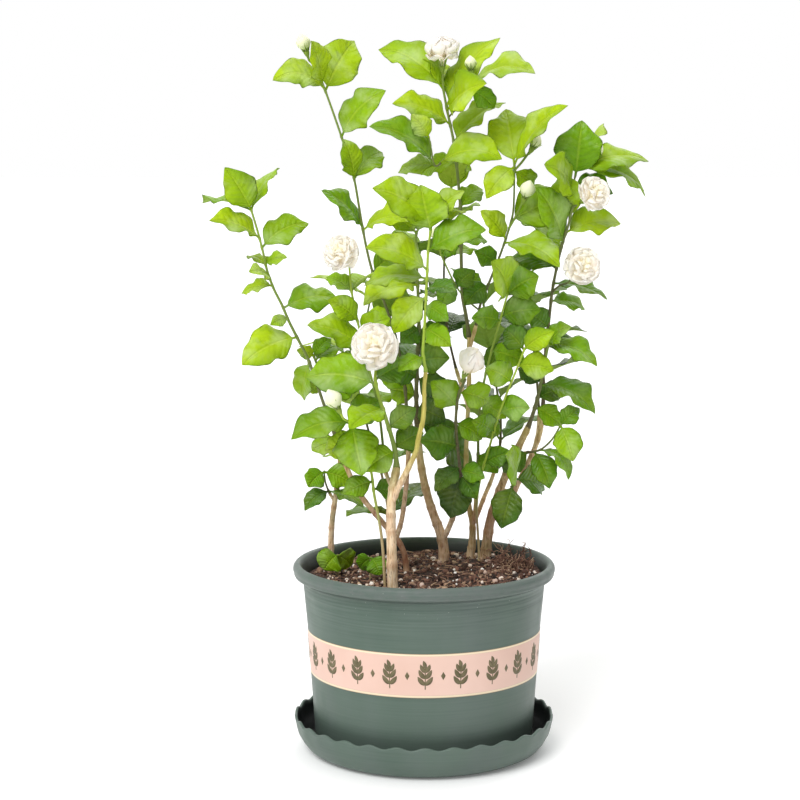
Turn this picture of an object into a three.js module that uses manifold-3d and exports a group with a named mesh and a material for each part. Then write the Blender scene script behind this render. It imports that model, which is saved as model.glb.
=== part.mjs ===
// Potted Arabian jasmine: a resin pot on a scalloped saucer, soil, woody canes, leafy shoots, double
// blooms and buds. Millimetres, +Z up. The origin is the centre of the saucer's underside, +X is to the
// right of someone who stands in front of the plant, and -Y is towards them.

import * as THREE from "three";
import { mergeVertices } from "three/addons/utils/BufferGeometryUtils.js";
import Module from "manifold-3d";

const wasm = await Module();
wasm.setup();

// ---- driving dimensions ------------------------------------------------------------------------

const GAP = 0.3; // clearance between pieces that rest in or on each other

const ROUND_SEGMENTS = 30;
const POT_FLOOR = 3.2;
const RIM_RADIUS = 100; // widest part of the rolled rim
const RIM_HEIGHT = 144; // crest of the rolled rim
const SAUCER_FLOOR = 2.6;
const SAUCER_HEIGHT = 25; // mean height of the scalloped rim
const SCALLOPS = 30;
const SCALLOP_RISE = 1.1; // from the mean height up to a crest, and down to a dip
const DRAIN_HOLES = 5;
const DRAIN_RADIUS = 5;
const DRAIN_CIRCLE = 52;

const SOIL_LEVEL = 136; // height of the soil round the canes
const ROOT_DEPTH = 12; // how far a cane goes down into the soil

const EYE = { x: -18.3, y: -1500, z: 456.7 }; // where the front view of the plant is drawn from

const LEAF_THICKNESS = 1.3; // at the midrib; the margins are thin
const LEAF_STATIONS = [0.09, 0.3, 0.55, 0.8]; // where a blade has a cross-section
const SMALL_LEAF = 54; // a shorter blade has fewer cross-sections, and a tiny one the fewest
const SMALL_STATIONS = [0.12, 0.38, 0.74];
const TINY_LEAF = 36;
const TINY_STATIONS = [0.27, 0.68];
const LEAF_RATIO = 0.6; // width of a blade by its length
const LEAF_WIDEST = 31;
const LEAF_BREADTH = 1.3; // a blade's full width by the width that is drawn
const PETIOLE = 0.09; // the stretch of a leaf before its blade, as a part of its length
const PETIOLE_HALF = 0.9; // half the petiole's width
const LEAF_FOLD = 0.2; // how far the two halves of a blade rise from the midrib
const LEAF_WAVE = 0.045; // height of the waves of the margin, as a part of the width
const LEAF_ARCH = 0.09; // how far a blade bends over, as a part of its length
const LEAF_CLEAR = 6.9; // distance kept between sampled points of leaves of different shoots
const TWIN_CLEAR = 5.4; // the same between leaves of one shoot
const STEM_CLEAR = 3.6; // distance kept from the surface of a cane or stem
const FLOWER_CLEAR = 3;
const AMPLE = 20; // a leaf with this much room has all that it needs

const PEDICEL_RADIUS = 0.9;
const CALYX_DEPTH = 4.4;
const CALYX_RADIUS = 2.3;
const NECK_RADIUS = 1.9; // the bloom's tube, where it leaves the calyx
const STRAIGHT_END = 8; // a stem runs straight into its flower for this far

// ---- materials ---------------------------------------------------------------------------------

const finish = (color, roughness) => new THREE.MeshStandardMaterial({ color, roughness, metalness: 0 });
const RESIN = 0x69776f;
const SOIL = 0x5a3b30;
const WOOD = 0xb3885f;
const LEAF = 0x6fa22e;
const PETAL = 0xf6f1e2;
const BUD = 0xdfe6b4;

// ---- the plant's lines, drawn in the front view ------------------------------------------------
// A point is [x, z, depth]: its place in the front view, on the plane through the pot's axis, and how
// far behind (+) or before (-) that plane it really lies. The first `wood` points of a line are a woody
// cane and the rest is a green shoot. A line without `from` is rooted in the soil.
// A leaf is [base x, base z, tip x, tip z, seen width, reach, lift]: reach is how much deeper its tip
// lies than its base, and lift how high its middle rises over its ends.

const LINES = [
  { name: "front", cane: "cane_front", shoot: "shoot_left_front", wood: 6, r: [4.1, 1.2],
    points: [[-24, 132, -60], [-24.5, 150, -60], [-25, 170, -60], [-25, 187, -59], [-23, 205, -57],
      [-21, 217, -56], [-22, 229, -57], [-25, 241, -59], [-29, 254, -62], [-34, 270, -66],
      [-37, 284, -69]],
    leaves: [[-34, 280, -90, 285, 23, 6, 8], [-30, 262, -57, 246, 14, -10, 2],
      [-26, 246, -6, 262, 13, 6, 2], [-36, 284, -12, 296, 15, 8, 3], [-22, 229, -45, 213, 16, -8, 4],
      [-22, 231, 0, 243, 14, -10, 4]] },
  { name: "front_right", cane: "cane_front", shoot: "shoot_centre", from: "front", wood: 10,
    r: [2.4, 1.2],
    points: [[-25, 189, -60], [-20, 200, -61], [-15, 210, -62], [-10, 220, -63], [-6, 229, -64],
      [-4, 240, -65], [-1, 252, -66], [0, 265, -66], [0, 278, -66], [1, 290, -65], [-1, 304, -64],
      [0, 320, -62], [1, 340, -60], [2, 362, -57], [3, 383, -54], [6, 406, -50]],
    leaves: [[6, 406, -39, 428, 18, -16, 5], [6, 406, 30, 426, 12, 8, 4], [6, 405, 31, 410, 7, -14, 3],
      [3, 396, -3, 430, 24, 6, 0], [3, 380, 46, 398, 15, -10, 4], [2, 366, -44, 384, 16, -14, 6],
      [1, 360, -46, 356, 10, 10, 6], [1, 352, 24, 350, 8, -16, 3], [0, 322, 20, 309, 13, -14, 2],
      [-1, 300, -20, 290, 10, -10, 3], [0, 340, 18, 328, 12, -12, 3], [0, 346, -23, 319, 16, -8, 3]] },
  { name: "left_low", shoot: "shoot_left_low", wood: 0, r: [1.7, 1.1],
    points: [[-30, 132, -52], [-31, 148, -52], [-32.5, 164, -52], [-35, 180, -53], [-38, 196, -54],
      [-40, 212, -56], [-44, 226, -58], [-49, 239, -60], [-55, 250, -62]],
    leaves: [[-55, 251, -101, 238, 17, -12, 8], [-54, 250, -47, 210, 24, -16, 0],
      [-55, 250, -33, 268, 17, -22, 4], [-46, 233, -76, 229, 16, 8, 5], [-39, 206, -62, 196, 12, -8, 3],
      [-38, 200, -18, 192, 11, 8, 3]] },
  { name: "left", cane: "cane_left", shoot: "shoot_left_arm", wood: 9, r: [2.3, 1.1],
    points: [[-13, 137, -12], [-15, 150, -10], [-21, 162, -6], [-30, 172, -2], [-38, 182, 2],
      [-46, 192, 5], [-54, 206, 7], [-61, 222, 8], [-67, 239, 7], [-74, 259, 4], [-81, 280, 0],
      [-88, 300, -5], [-95, 314, -8], [-102, 328, -10], [-107, 340, -12], [-113, 352, -14],
      [-118, 366, -15], [-121, 380, -17], [-125, 396, -19], [-130, 413, -22]],
    leaves: [[-130, 413, -149, 443, 18, -12, 3], [-130, 412, -166, 418, 7, 12, 2],
      [-129, 411, -109, 444, 9, 14, 3], [-124, 390, -161, 404, 10, -14, 5],
      [-122, 383, -86, 402, 16, 12, 7], [-119, 371, -103, 376, 7, -8, 2],
      [-119, 370, -132, 377, 6, 8, 2], [-117, 361, -131, 366, 6, -10, 2],
      [-114, 355, -138, 349, 6, 10, 2], [-106, 338, -62, 344, 15, 14, 8],
      [-103, 330, -116, 325, 7, -8, 2], [-96, 316, -138, 295, 20, -14, 5],
      [-86, 296, -92, 267, 12, 12, 4]] },
  { name: "top_left", cane: "cane_left", shoot: "shoot_top_left", from: "left", wood: 6, r: [1.9, 1.0],
    points: [[-21, 162, -6], [-17, 176, 4], [-15, 190, 11], [-13, 210, 19], [-12, 233, 26],
      [-13, 259, 31], [-16, 290, 35], [-22, 318, 36], [-30, 342, 34], [-38, 362, 30], [-43, 381, 26],
      [-47, 402, 22], [-52, 432, 17], [-57, 450, 14], [-63, 469, 10], [-74, 500, 4], [-83, 520, 0]],
    leaves: [[-75, 501, -113, 508, 14, -14, 13], [-76, 504, -84, 536, 12, 14, 2],
      [-73, 499, -52, 536, 24, -6, 5], [-61, 466, -29, 500, 17, -10, 7],
      [-52, 434, -60, 464, 12, -14, 2], [-52, 434, -31, 455, 16, -10, 5],
      [-46, 397, -77, 426, 11, -14, 5], [-46, 396, -8, 403, 10, -16, 10],
      [-39, 364, -16, 380, 15, 16, 5], [-24, 322, -44, 334, 13, 16, 4],
      [-14, 276, -34, 288, 12, 14, 4]] },
  { name: "far_left", cane: "cane_far_left", shoot: "shoot_far_left", wood: 7, r: [2.5, 1.1],
    points: [[-71, 142, 35], [-71, 160, 35], [-70, 176, 34], [-68, 190, 33], [-66, 203, 31],
      [-64, 215, 29], [-64, 228, 27], [-66, 243, 24], [-70, 259, 20], [-74, 275, 16], [-79, 290, 12],
      [-84, 303, 9]],
    leaves: [[-84, 303, -70, 315, 9, 10, 3], [-83, 301, -96, 306, 8, -14, 2],
      [-82, 298, -62, 309, 10, 14, 3], [-75, 277, -92, 280, 11, -12, 3],
      [-73, 271, -50, 280, 14, 12, 4], [-65, 236, -86, 229, 12, 10, 3]] },
  { name: "far_left_low", cane: "cane_far_left", shoot: "shoot_far_left_low", from: "far_left",
    wood: 2, r: [1.2, 0.9],
    points: [[-68, 190, 33], [-72, 197, 30], [-75, 205, 26], [-76, 214, 22]],
    leaves: [[-72, 196, -91, 183, 10, -10, 5], [-76, 213, -88, 201, 13, 10, 3],
      [-76, 214, -54, 203, 14, -12, 4], [-72, 196, -46, 186, 8, -8, 3]] },
  { name: "middle", cane: "cane_middle", shoot: "shoot_middle", wood: 8, r: [4.4, 1.2],
    points: [[15, 138, 30], [15, 154, 30], [12.5, 166, 31], [8, 178, 32], [4, 190, 33], [0, 205, 35],
      [-3, 222, 37], [-5, 245, 38], [-6, 272, 38], [-5, 300, 36], [-4, 328, 32], [-5, 354, 28],
      [-6, 378, 24], [-6, 396, 20]],
    leaves: [[-6, 396, -28, 408, 13, 14, 4], [-5, 394, 14, 418, 15, 12, 3],
      [-5, 356, -46, 340, 15, -18, 6], [-4, 322, -18, 312, 14, -16, 2], [-5, 305, 18, 324, 16, 14, 3],
      [-5, 296, 19, 300, 17, -10, 3], [-5, 286, -28, 294, 16, -12, 3], [-5, 284, 17, 270, 16, 12, 3],
      [-5, 270, -26, 276, 17, -12, 3], [-5, 262, 16, 252, 17, -12, 3],
      [-5, 254, 37, 212, 18, 12, 5]] },
  { name: "middle_right", cane: "cane_middle", shoot: "shoot_ball", from: "middle", wood: 5,
    r: [2.3, 1.1],
    points: [[15, 160, 30], [18, 168, 27], [22, 178, 24], [26, 190, 20], [28, 203, 15], [27, 218, 10],
      [25, 236, 4], [24, 254, -4], [26, 272, -14], [31, 284, -24]],
    leaves: [[25, 233, -3, 237, 20, -14, 3], [26, 216, 8, 198, 12, -12, 2],
      [27, 210, 40, 192, 12, 12, 2], [27, 211, 20, 177, 20, -10, 1], [27, 214, 46, 208, 12, 10, 3],
      [24, 250, 44, 238, 13, 14, 3], [24, 262, 5, 282, 17, -8, 3], [27, 274, 50, 266, 16, 12, 4]] },
  { name: "right", cane: "cane_right", shoot: "shoot_top", wood: 9, r: [3.3, 1.0],
    points: [[35, 141, 49], [36.5, 156, 49], [37, 172, 49], [34, 189, 48], [32, 207, 47], [32, 232, 45],
      [33, 258, 42], [34, 290, 38], [33.6, 317, 34.8], [31.4, 332, 33], [28.5, 348, 32],
      [27.5, 380, 30], [27, 410, 28], [25, 434, 26], [22, 460, 24], [17, 484, 22], [14, 500, 20]],
    leaves: [[14, 500, -35, 532, 18, -12, 9], [14, 499, 2, 526, 12, 16, 2],
      [16, 488, 55, 540, 16, 14, 6], [17, 485, 46, 505, 18, -14, 5], [20, 474, -24, 490, 13, -14, 8],
      [22, 462, 60, 492, 11, 14, 5], [24, 446, -4, 438, 10, 14, 4], [27, 414, 44, 428, 12, 16, 4],
      [28, 386, 48, 388, 8, 12, 4], [28, 360, 43, 352, 9, 12, 4], [27, 392, 12, 376, 12, 14, 3]] },
  { name: "top_fork", shoot: "shoot_top", from: "right", wood: 0, r: [1.0, 0.9],
    points: [[23, 452, 24], [15, 449, 14], [8, 444, 6], [5, 456, 2], [3, 466, 0]],
    leaves: [[7, 446, -41, 474, 14, -12, 9], [9, 444, -21, 440, 10, 12, 3],
      [12, 447, 58, 450, 16, -16, 11], [3, 465, -10, 482, 12, 8, 2]] },
  { name: "top_side", shoot: "shoot_top", from: "right", wood: 0, r: [1.0, 0.9],
    points: [[18, 480, 22], [27, 490, 14], [34, 500, 8]],
    leaves: [[35, 504, 82, 513, 11, -8, 12], [34, 500, 52, 486, 12, 12, 4]] },
  { name: "right_top", cane: "cane_right", shoot: "shoot_right_top", from: "right", wood: 2,
    r: [1.5, 1.0],
    points: [[34.6, 305, 35], [39, 325, 29], [42, 340, 24], [49, 358, 18], [55, 373, 14], [61, 390, 10],
      [66, 408, 6], [67, 428, 3], [67, 447, 0]],
    leaves: [[67, 446, 60, 488, 24, 6, 2], [68, 446, 105, 490, 11, -14, 5],
      [67, 443, 46, 420, 15, -14, 3], [67, 440, 82, 428, 12, -14, 3], [66, 403, 108, 420, 24, -8, 6],
      [60, 386, 102, 369, 15, -12, 8], [61, 390, 42, 411, 12, -8, 3], [54, 370, 38, 380, 12, -14, 4],
      [53, 368, 76, 356, 16, -10, 4], [47, 354, 30, 340, 14, -12, 4]] },
  { name: "nine", shoot: "shoot_right_top", from: "right_top", wood: 0, r: [1.0, 0.8],
    points: [[41, 336, 25], [32, 344, 14], [24, 354, 6], [17, 368, 0], [12, 379, -4]],
    leaves: [[22, 356, 12, 338, 12, -10, 3], [25, 353, 38, 366, 13, -10, 3]] },
  { name: "right_inner", cane: "cane_right", shoot: "shoot_right_inner", from: "right", wood: 4,
    r: [1.9, 1.0],
    points: [[37, 170, 49], [39, 184, 46], [40, 200, 44], [41, 220, 41], [41, 241, 37], [42, 262, 31],
      [46, 286, 23], [52, 310, 14], [58, 332, 5], [63, 350, -2]],
    leaves: [[63, 350, 86, 362, 20, -8, 4], [62, 348, 52, 372, 16, -14, 3],
      [58, 332, 88, 336, 18, -16, 5], [57, 328, 36, 330, 14, -14, 4], [51, 306, 76, 296, 17, -14, 4],
      [47, 290, 62, 310, 13, 12, 3], [43, 266, 62, 254, 15, -14, 4], [41, 240, 58, 250, 13, 12, 3],
      [41, 226, 56, 212, 13, -14, 3]] },
  { name: "right_thin", shoot: "shoot_right_thin", wood: 0, r: [1.5, 1.0],
    points: [[42, 137, 34], [42, 152, 35], [41, 168, 34], [40, 188, 30], [43, 209, 22], [49, 230, 12],
      [55, 252, 0], [62, 272, -10], [70, 292, -18], [76, 308, -24]],
    leaves: [[76, 308, 98, 320, 13, -10, 4], [76, 307, 60, 322, 15, -12, 3],
      [71, 294, 98, 290, 15, -12, 4], [66, 282, 46, 292, 16, -10, 4], [57, 258, 80, 262, 15, -10, 4],
      [53, 244, 36, 252, 14, -12, 3], [46, 220, 66, 228, 13, -8, 3]] },
  { name: "far_right", cane: "cane_far_right", shoot: "shoot_right_low", wood: 8, r: [4.5, 1.2],
    points: [[47, 141, 49], [48, 156, 49], [50, 172, 48], [54, 188, 45], [60, 205, 39], [66, 220, 33],
      [73, 235, 27], [79, 248, 21], [84, 263, 15], [88, 280, 10], [91, 297, 5], [94, 312, 0]],
    leaves: [[93, 311, 131, 294, 13, -10, 8], [93, 310, 110, 324, 10, 12, 4],
      [88, 280, 130, 258, 12, -12, 9], [86, 270, 108, 276, 12, 12, 3],
      [84, 262, 104, 248, 12, -10, 3]] },
  { name: "low_twig", cane: "cane_far_right", shoot: "shoot_low_twig", from: "far_right", wood: 2,
    r: [1.3, 0.9],
    points: [[69, 226, 30], [78, 228, 18], [88, 230, 8], [97, 238, 0], [104, 250, -6]],
    leaves: [[104, 249, 113, 221, 16, -8, 3], [88, 230, 111, 207, 8, -10, 12],
      [84, 229, 96, 200, 14, -12, 3], [104, 249, 118, 262, 11, 10, 3],
      [76, 228, 60, 212, 13, -10, 3]] },
  { name: "low_leaf", cane: "cane_far_right", shoot: "shoot_low_leaf", from: "far_right", wood: 2,
    r: [1.2, 0.9],
    points: [[58, 199, 41], [64, 199, 30], [68, 203, 20], [70, 208, 12]],
    leaves: [[68, 202, 59, 169, 18, -8, 1], [70, 208, 92, 200, 15, -10, 4],
      [70, 208, 62, 226, 12, -8, 3]] },
  { name: "right_arm", cane: "cane_far_right", shoot: "shoot_right_arm", from: "far_right", wood: 8,
    r: [2.4, 1.1],
    points: [[51, 176, 47], [60, 183, 50], [66, 192, 51], [71, 203, 51], [77, 216, 50], [83, 229, 48],
      [88, 244, 45], [90, 264, 40], [90, 288, 34], [92, 310, 29], [94, 330, 23], [96, 350, 17],
      [99, 367, 11], [103, 385, 5], [108, 401, 0], [111, 413, -4]],
    leaves: [[105, 394, 147, 401, 14, 12, 7], [109, 405, 102, 440, 17, 12, 2],
      [103, 388, 84, 428, 18, -14, 4], [102, 383, 74, 408, 17, 14, 4], [99, 368, 62, 375, 14, -10, 5],
      [97, 356, 138, 345, 8, -12, 3], [95, 342, 122, 338, 8, 12, 3], [93, 322, 76, 334, 14, -10, 4],
      [92, 308, 120, 312, 12, 14, 4], [90, 282, 70, 292, 13, 14, 4]] },
  { name: "arm_low", shoot: "shoot_right_arm", from: "right_arm", wood: 0, r: [1.1, 1.0],
    points: [[96, 350, 17], [102, 355, 8], [109, 358, 0]] },
  { name: "arm_top", shoot: "shoot_right_arm", from: "right_arm", wood: 0, r: [1.1, 0.9],
    points: [[108, 402, 0], [109, 416, 6], [111, 429, 10], [114, 441, 12]],
    leaves: [[112, 436, 117, 478, 26, 8, 2], [114, 440, 168, 449, 14, -12, 9],
      [118, 446, 130, 472, 10, 12, 3], [111, 430, 142, 424, 12, 12, 5], [116, 444, 168, 423, 11, 8, 10],
      [110, 425, 92, 446, 13, -8, 3]] },
  { name: "bloom_stem", cane: "cane_front", shoot: "shoot_left_centre", from: "front", wood: 2,
    r: [1.5, 1.0],
    points: [[-23.5, 199, -58], [-29, 213, -49], [-31, 231, -46], [-33, 250, -44], [-36, 269, -43],
      [-41, 289, -42], [-46, 306, -42], [-49, 322, -42], [-52, 337, -42], [-55, 352, -43]],
    leaves: [[-46, 308, -88, 326, 16, -12, 4], [-51, 328, -73, 344, 13, 10, 4],
      [-48, 316, -26, 330, 14, -10, 4], [-42, 292, -66, 296, 13, 12, 4], [-54, 350, -74, 362, 9, 10, 3],
      [-54, 350, -40, 362, 9, 10, 3]] },
  { name: "low_front_leaf", shoot: "shoot_ground_front", wood: 0, r: [1.0, 0.9],
    points: [[-41, 136, -31], [-41, 143, -32], [-40, 147, -35]],
    leaves: [[-40, 147, -34, 133, 13, -6, 3], [-40, 147, -49, 138, 11, -6, 3]] },
  { name: "low_left_leaf", shoot: "shoot_ground", wood: 0, r: [1.1, 0.9],
    points: [[-66, 138, -4], [-66, 145, -6], [-66, 149, -10]],
    leaves: [[-66, 149, -76, 137, 17, -6, 3], [-66, 149, -56, 140, 15, -6, 3]] },
  // the back of the bush, with leaves in pairs by rule
  { name: "back_right", cane: "cane_right", shoot: "shoot_back_right", from: "right", wood: 5,
    r: [1.9, 1.0], pairs: 4,
    points: [[37, 172, 49], [41, 181, 54], [46, 194, 59], [52, 209, 64], [57, 228, 69], [58, 252, 74],
      [54, 282, 79], [49, 312, 84], [44, 344, 84]] },
  { name: "back_middle", cane: "cane_middle", shoot: "shoot_back_middle", from: "middle", wood: 3,
    r: [1.5, 1.0], pairs: 5,
    points: [[-3.5, 226, 37], [-9, 246, 47], [-14, 266, 57], [-20, 292, 67], [-22, 316, 75],
      [-20, 344, 80], [-16, 370, 80]] },
  { name: "back_left", shoot: "shoot_back_left", wood: 0, r: [1.9, 1.0], pairs: 5,
    points: [[-26, 138, 52], [-26, 158, 54], [-27, 180, 57], [-32, 210, 62], [-42, 244, 67],
      [-50, 280, 72], [-46, 316, 72], [-40, 348, 70]] },
  { name: "back_far_right", cane: "cane_far_right", shoot: "shoot_back_far_right", from: "right_arm",
    wood: 3, r: [1.6, 1.0], pairs: 4, phase: 1.2,
    points: [[83, 229, 48], [86, 242, 57], [87, 258, 65], [85, 284, 72], [82, 312, 76], [80, 340, 76],
      [80, 366, 72]] },
  { name: "back_top", cane: "cane_right", shoot: "shoot_back_top", from: "right", wood: 3,
    r: [1.5, 1.0], pairs: 5,
    points: [[33, 262, 42], [29, 276, 51], [24, 292, 60], [18, 318, 70], [15, 346, 76], [15, 376, 76],
      [18, 404, 70], [20, 428, 62]] },
];

// A bloom is { line, at: [x, z, depth], size, facing }, and a bud is { line, at, size, facing }. It sits on
// the calyx at the end of its line, or of a pedicel that leaves its line beside it.
const BLOOMS = [
  { name: "bloom_left_front", line: "front", at: [-38, 310, -84], size: 36,
    facing: [-0.1, -0.92, 0.38] },
  { name: "bloom_left", line: "bloom_stem", at: [-63, 380, -58], size: 29,
    facing: [-0.25, -0.86, 0.45] },
  { name: "bloom_right", line: "right_arm", at: [127, 424, -16], size: 28, facing: [0.45, -0.8, 0.4] },
  { name: "bloom_far_right", line: "arm_low", at: [119, 370, -14], size: 31,
    facing: [0.3, -0.9, 0.3] },
  { name: "bloom_top", line: "right", at: [12.5, 531, 16], size: 27, facing: [-0.05, -0.2, 0.98] },
  { name: "bloom_ball", line: "middle_right", at: [36, 299, -36], size: 22,
    facing: [0.35, -0.45, 0.82], closed: true },
];
const BUDS = [
  { name: "bud_left", line: "left_low", at: [-69, 269, -84], size: 13, facing: [-0.45, -0.1, 0.88] },
  { name: "bud_right_top", line: "right_top", side: [63, 398], at: [77, 427, -6], size: 12,
    facing: [0.25, -0.4, 0.88] },
  { name: "bud_top_left", line: "top_left", at: [-90, 535, -4], size: 11, facing: [-0.3, -0.2, 0.93] },
  { name: "bud_top", line: "top_side", at: [34, 520, 4], size: 9, facing: [-0.1, -0.1, 0.98] },
  { name: "bud_centre", line: "nine", at: [9, 394, -8], size: 9, facing: [-0.2, -0.3, 0.92] },
  { name: "bud_right", line: "arm_top", at: [129, 456, 12], size: 9, facing: [0.6, -0.2, 0.77] },
  { name: "bud_fork", line: "right_top", side: [67, 440], at: [83, 462, 6], size: 9,
    facing: [0.5, 0.1, 0.85] },
];

// ---- small vector helpers ----------------------------------------------------------------------

const add = (a, b, k = 1) => [a[0] + b[0] * k, a[1] + b[1] * k, a[2] + b[2] * k];
const sub = (a, b) => [a[0] - b[0], a[1] - b[1], a[2] - b[2]];
const dot = (a, b) => a[0] * b[0] + a[1] * b[1] + a[2] * b[2];
const cross = (a, b) => [a[1] * b[2] - a[2] * b[1], a[2] * b[0] - a[0] * b[2], a[0] * b[1] - a[1] * b[0]];
const size = (a) => Math.sqrt(dot(a, a));
const unit = (a) => a.map((k) => k / size(a));
const across = (a, axis) => unit(add(a, axis, -dot(a, axis)));

// A seeded sequence of numbers from 0 to 1, the same on every run.
function sequence(seed) {
  let state = seed;
  return () => {
    state = (state * 16807) % 2147483647;
    return state / 2147483647;
  };
}

// The real place of a point of the front view.
function sight([x, z, depth]) {
  const k = (depth - EYE.y) / -EYE.y;
  return [EYE.x + (x - EYE.x) * k, depth, EYE.z + (z - EYE.z) * k];
}

// The front view of a real point.
function front(p) {
  const k = (p[1] - EYE.y) / -EYE.y;
  return [EYE.x + (p[0] - EYE.x) / k, EYE.z + (p[2] - EYE.z) / k];
}

// ---- solids ------------------------------------------------------------------------------------

function solid(geometry) {
  const bare = geometry.clone();
  bare.deleteAttribute("normal");
  bare.deleteAttribute("uv");
  const merged = mergeVertices(bare, 1e-4);
  return new wasm.Manifold(new wasm.Mesh({
    numProp: 3,
    vertProperties: new Float32Array(merged.attributes.position.array),
    triVerts: new Uint32Array(merged.index.array),
  }));
}

const fuse = (solids) => solids.reduce((whole, piece) => whole.add(piece));

function facesOf(points, triangles) {
  const geometry = new THREE.BufferGeometry();
  geometry.setAttribute("position", new THREE.Float32BufferAttribute(points.flat(), 3));
  geometry.setIndex(triangles.flat());
  return geometry;
}

function meshOf(name, shape, color, roughness) {
  let geometry = shape;
  if (shape instanceof wasm.Manifold) {
    const { vertProperties, triVerts } = shape.getMesh();
    geometry = new THREE.BufferGeometry();
    geometry.setAttribute("position", new THREE.Float32BufferAttribute(vertProperties, 3));
    geometry.setIndex([...triVerts]);
  }
  geometry.computeVertexNormals();
  const mesh = new THREE.Mesh(geometry, finish(color, roughness));
  mesh.name = name;
  return mesh;
}

// A closed skin over rings of points, from a start point or flat end to an end point or flat end. The
// quads of a thin blade's two faces, the two halves of each ring, are split along the same diagonals.
function skin(start, rings, end, blade = false) {
  const points = [start, ...rings.flat(), end];
  const n = rings[0].length;
  const triangles = [];
  for (let j = 0; j < n; j++) {
    triangles.push([0, 1 + ((j + 1) % n), 1 + j]);
  }
  for (let i = 0; i < rings.length - 1; i++) {
    for (let j = 0; j < n; j++) {
      const a = 1 + i * n + j;
      const b = 1 + i * n + ((j + 1) % n);
      if (blade && j >= n / 2) triangles.push([a, b, a + n], [b, b + n, a + n]);
      else triangles.push([a, b, b + n], [a, b + n, a + n]);
    }
  }
  const top = 1 + (rings.length - 1) * n;
  for (let j = 0; j < n; j++) {
    triangles.push([top + j, top + ((j + 1) % n), points.length - 1]);
  }
  return facesOf(points, triangles);
}

// A tapered round stem along the stretch t0 to t1 of a line, with flat ends.
function stem(points, t0, t1, radiusAt, sides) {
  const stops = [t0];
  for (let t = Math.floor(t0) + 1; t < t1 - 0.01; t++) if (t - t0 > 0.2) stops.push(t);
  stops.push(t1);
  let u = null;
  const rings = stops.map((t) => {
    const before = axisAt(points, Math.max(t - 0.5, 0));
    const along = unit(sub(axisAt(points, Math.min(t + 0.5, points.length - 1)), before));
    u = across(u ?? (Math.abs(along[1]) < 0.9 ? [0, 1, 0] : [1, 0, 0]), along);
    const v = cross(along, u);
    const centre = axisAt(points, t);
    const radius = radiusAt(t);
    return Array.from({ length: sides }, (_, j) => {
      const angle = (2 * Math.PI * j) / sides;
      return add(add(centre, u, radius * Math.cos(angle)), v, radius * Math.sin(angle));
    });
  });
  return skin(axisAt(points, t0), rings, axisAt(points, t1));
}

// ---- leaves ------------------------------------------------------------------------------------

// Half the width of a blade at t, as a part of its greatest half width.
function outline(t) {
  const u = Math.max(0, (t - PETIOLE) / (1 - PETIOLE));
  return Math.pow(Math.sin(Math.PI * Math.pow(u, 0.82)), 0.9);
}

// A leaf from its base to its tip, with its upper face towards `up`.
function makeLeaf(base, tip, width, up, lift, phase) {
  const chord = sub(tip, base);
  const length = size(chord);
  const along = unit(chord);
  const normal = across(up, along);
  let bend = add(add(base, chord, 0.5), normal, LEAF_ARCH * length);
  if (lift > 0 && Math.abs(along[2]) < 0.95) bend = add(bend, across([0, 0, 1], along), lift);
  return { base, bend, tip, width, length, normal, phase };
}

// A point of the blade's middle surface: t from base to tip, s from -1 to 1 across.
function bladePoint(leaf, t, s) {
  const { base, bend, tip } = leaf;
  const q = 1 - t;
  const mid = [0, 1, 2].map((k) => q * q * base[k] + 2 * q * t * bend[k] + t * t * tip[k]);
  const along = unit([0, 1, 2].map((k) => 2 * q * (bend[k] - base[k]) + 2 * t * (tip[k] - bend[k])));
  const normal = across(leaf.normal, along);
  const side = cross(along, normal);
  const half = Math.max((leaf.width / 2) * outline(t), PETIOLE_HALF * Math.min(1, (1 - t) * 8));
  const turn = 14 * t + leaf.phase + (s > 0 ? 1.3 : 0);
  const wave = LEAF_WAVE * leaf.width * s * s * Math.sin(turn) * outline(t);
  return add(add(mid, side, s * half), normal, LEAF_FOLD * Math.abs(s) * half + wave);
}

function leafSolid(leaf) {
  const few = leaf.length > TINY_LEAF ? SMALL_STATIONS : TINY_STATIONS;
  const stations = leaf.length > SMALL_LEAF ? LEAF_STATIONS : few;
  const rings = stations.map((t) => {
    const middle = bladePoint(leaf, t, 0);
    const half = LEAF_THICKNESS / 2;
    return [bladePoint(leaf, t, 1), add(middle, leaf.normal, -half), bladePoint(leaf, t, -1),
      add(middle, leaf.normal, half)];
  });
  return skin(bladePoint(leaf, 0, 0), rings, bladePoint(leaf, 1, 0), true);
}

// ---- where leaves may go -----------------------------------------------------------------------

const taken = []; // { centre, reach, points, owner, clear }

const SAMPLE_T = [0.2, 0.32, 0.44, 0.56, 0.68, 0.8, 0.9, 1];
const SAMPLE_S = [-0.9, -0.45, 0, 0.45, 0.9];

function samplesOf(leaf) {
  return SAMPLE_T.flatMap((t) => SAMPLE_S.map((s) => bladePoint(leaf, t, s)));
}

function occupy(points, owner, clear) {
  const centre = points.reduce((sum, p) => add(sum, p, 1 / points.length), [0, 0, 0]);
  const reach = Math.max(...points.map((p) => size(sub(p, centre))));
  taken.push({ centre, reach, points, owner, clear });
}

// How far a set of points is from everything of other shoots, less the distance that it must keep.
function room(points, owner) {
  const centre = points.reduce((sum, p) => add(sum, p, 1 / points.length), [0, 0, 0]);
  const reach = Math.max(...points.map((p) => size(sub(p, centre))));
  let least = AMPLE;
  for (const other of taken) {
    const own = other.owner === owner;
    const clear = own ? Math.min(other.clear, TWIN_CLEAR) : other.clear;
    if (own && other.clear !== LEAF_CLEAR) continue;
    if (size(sub(centre, other.centre)) - reach - other.reach - clear > least) continue;
    for (const p of points) {
      for (const q of other.points) {
        const d = size(sub(p, q)) - clear;
        if (d < least) least = d;
      }
    }
  }
  return least;
}

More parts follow.
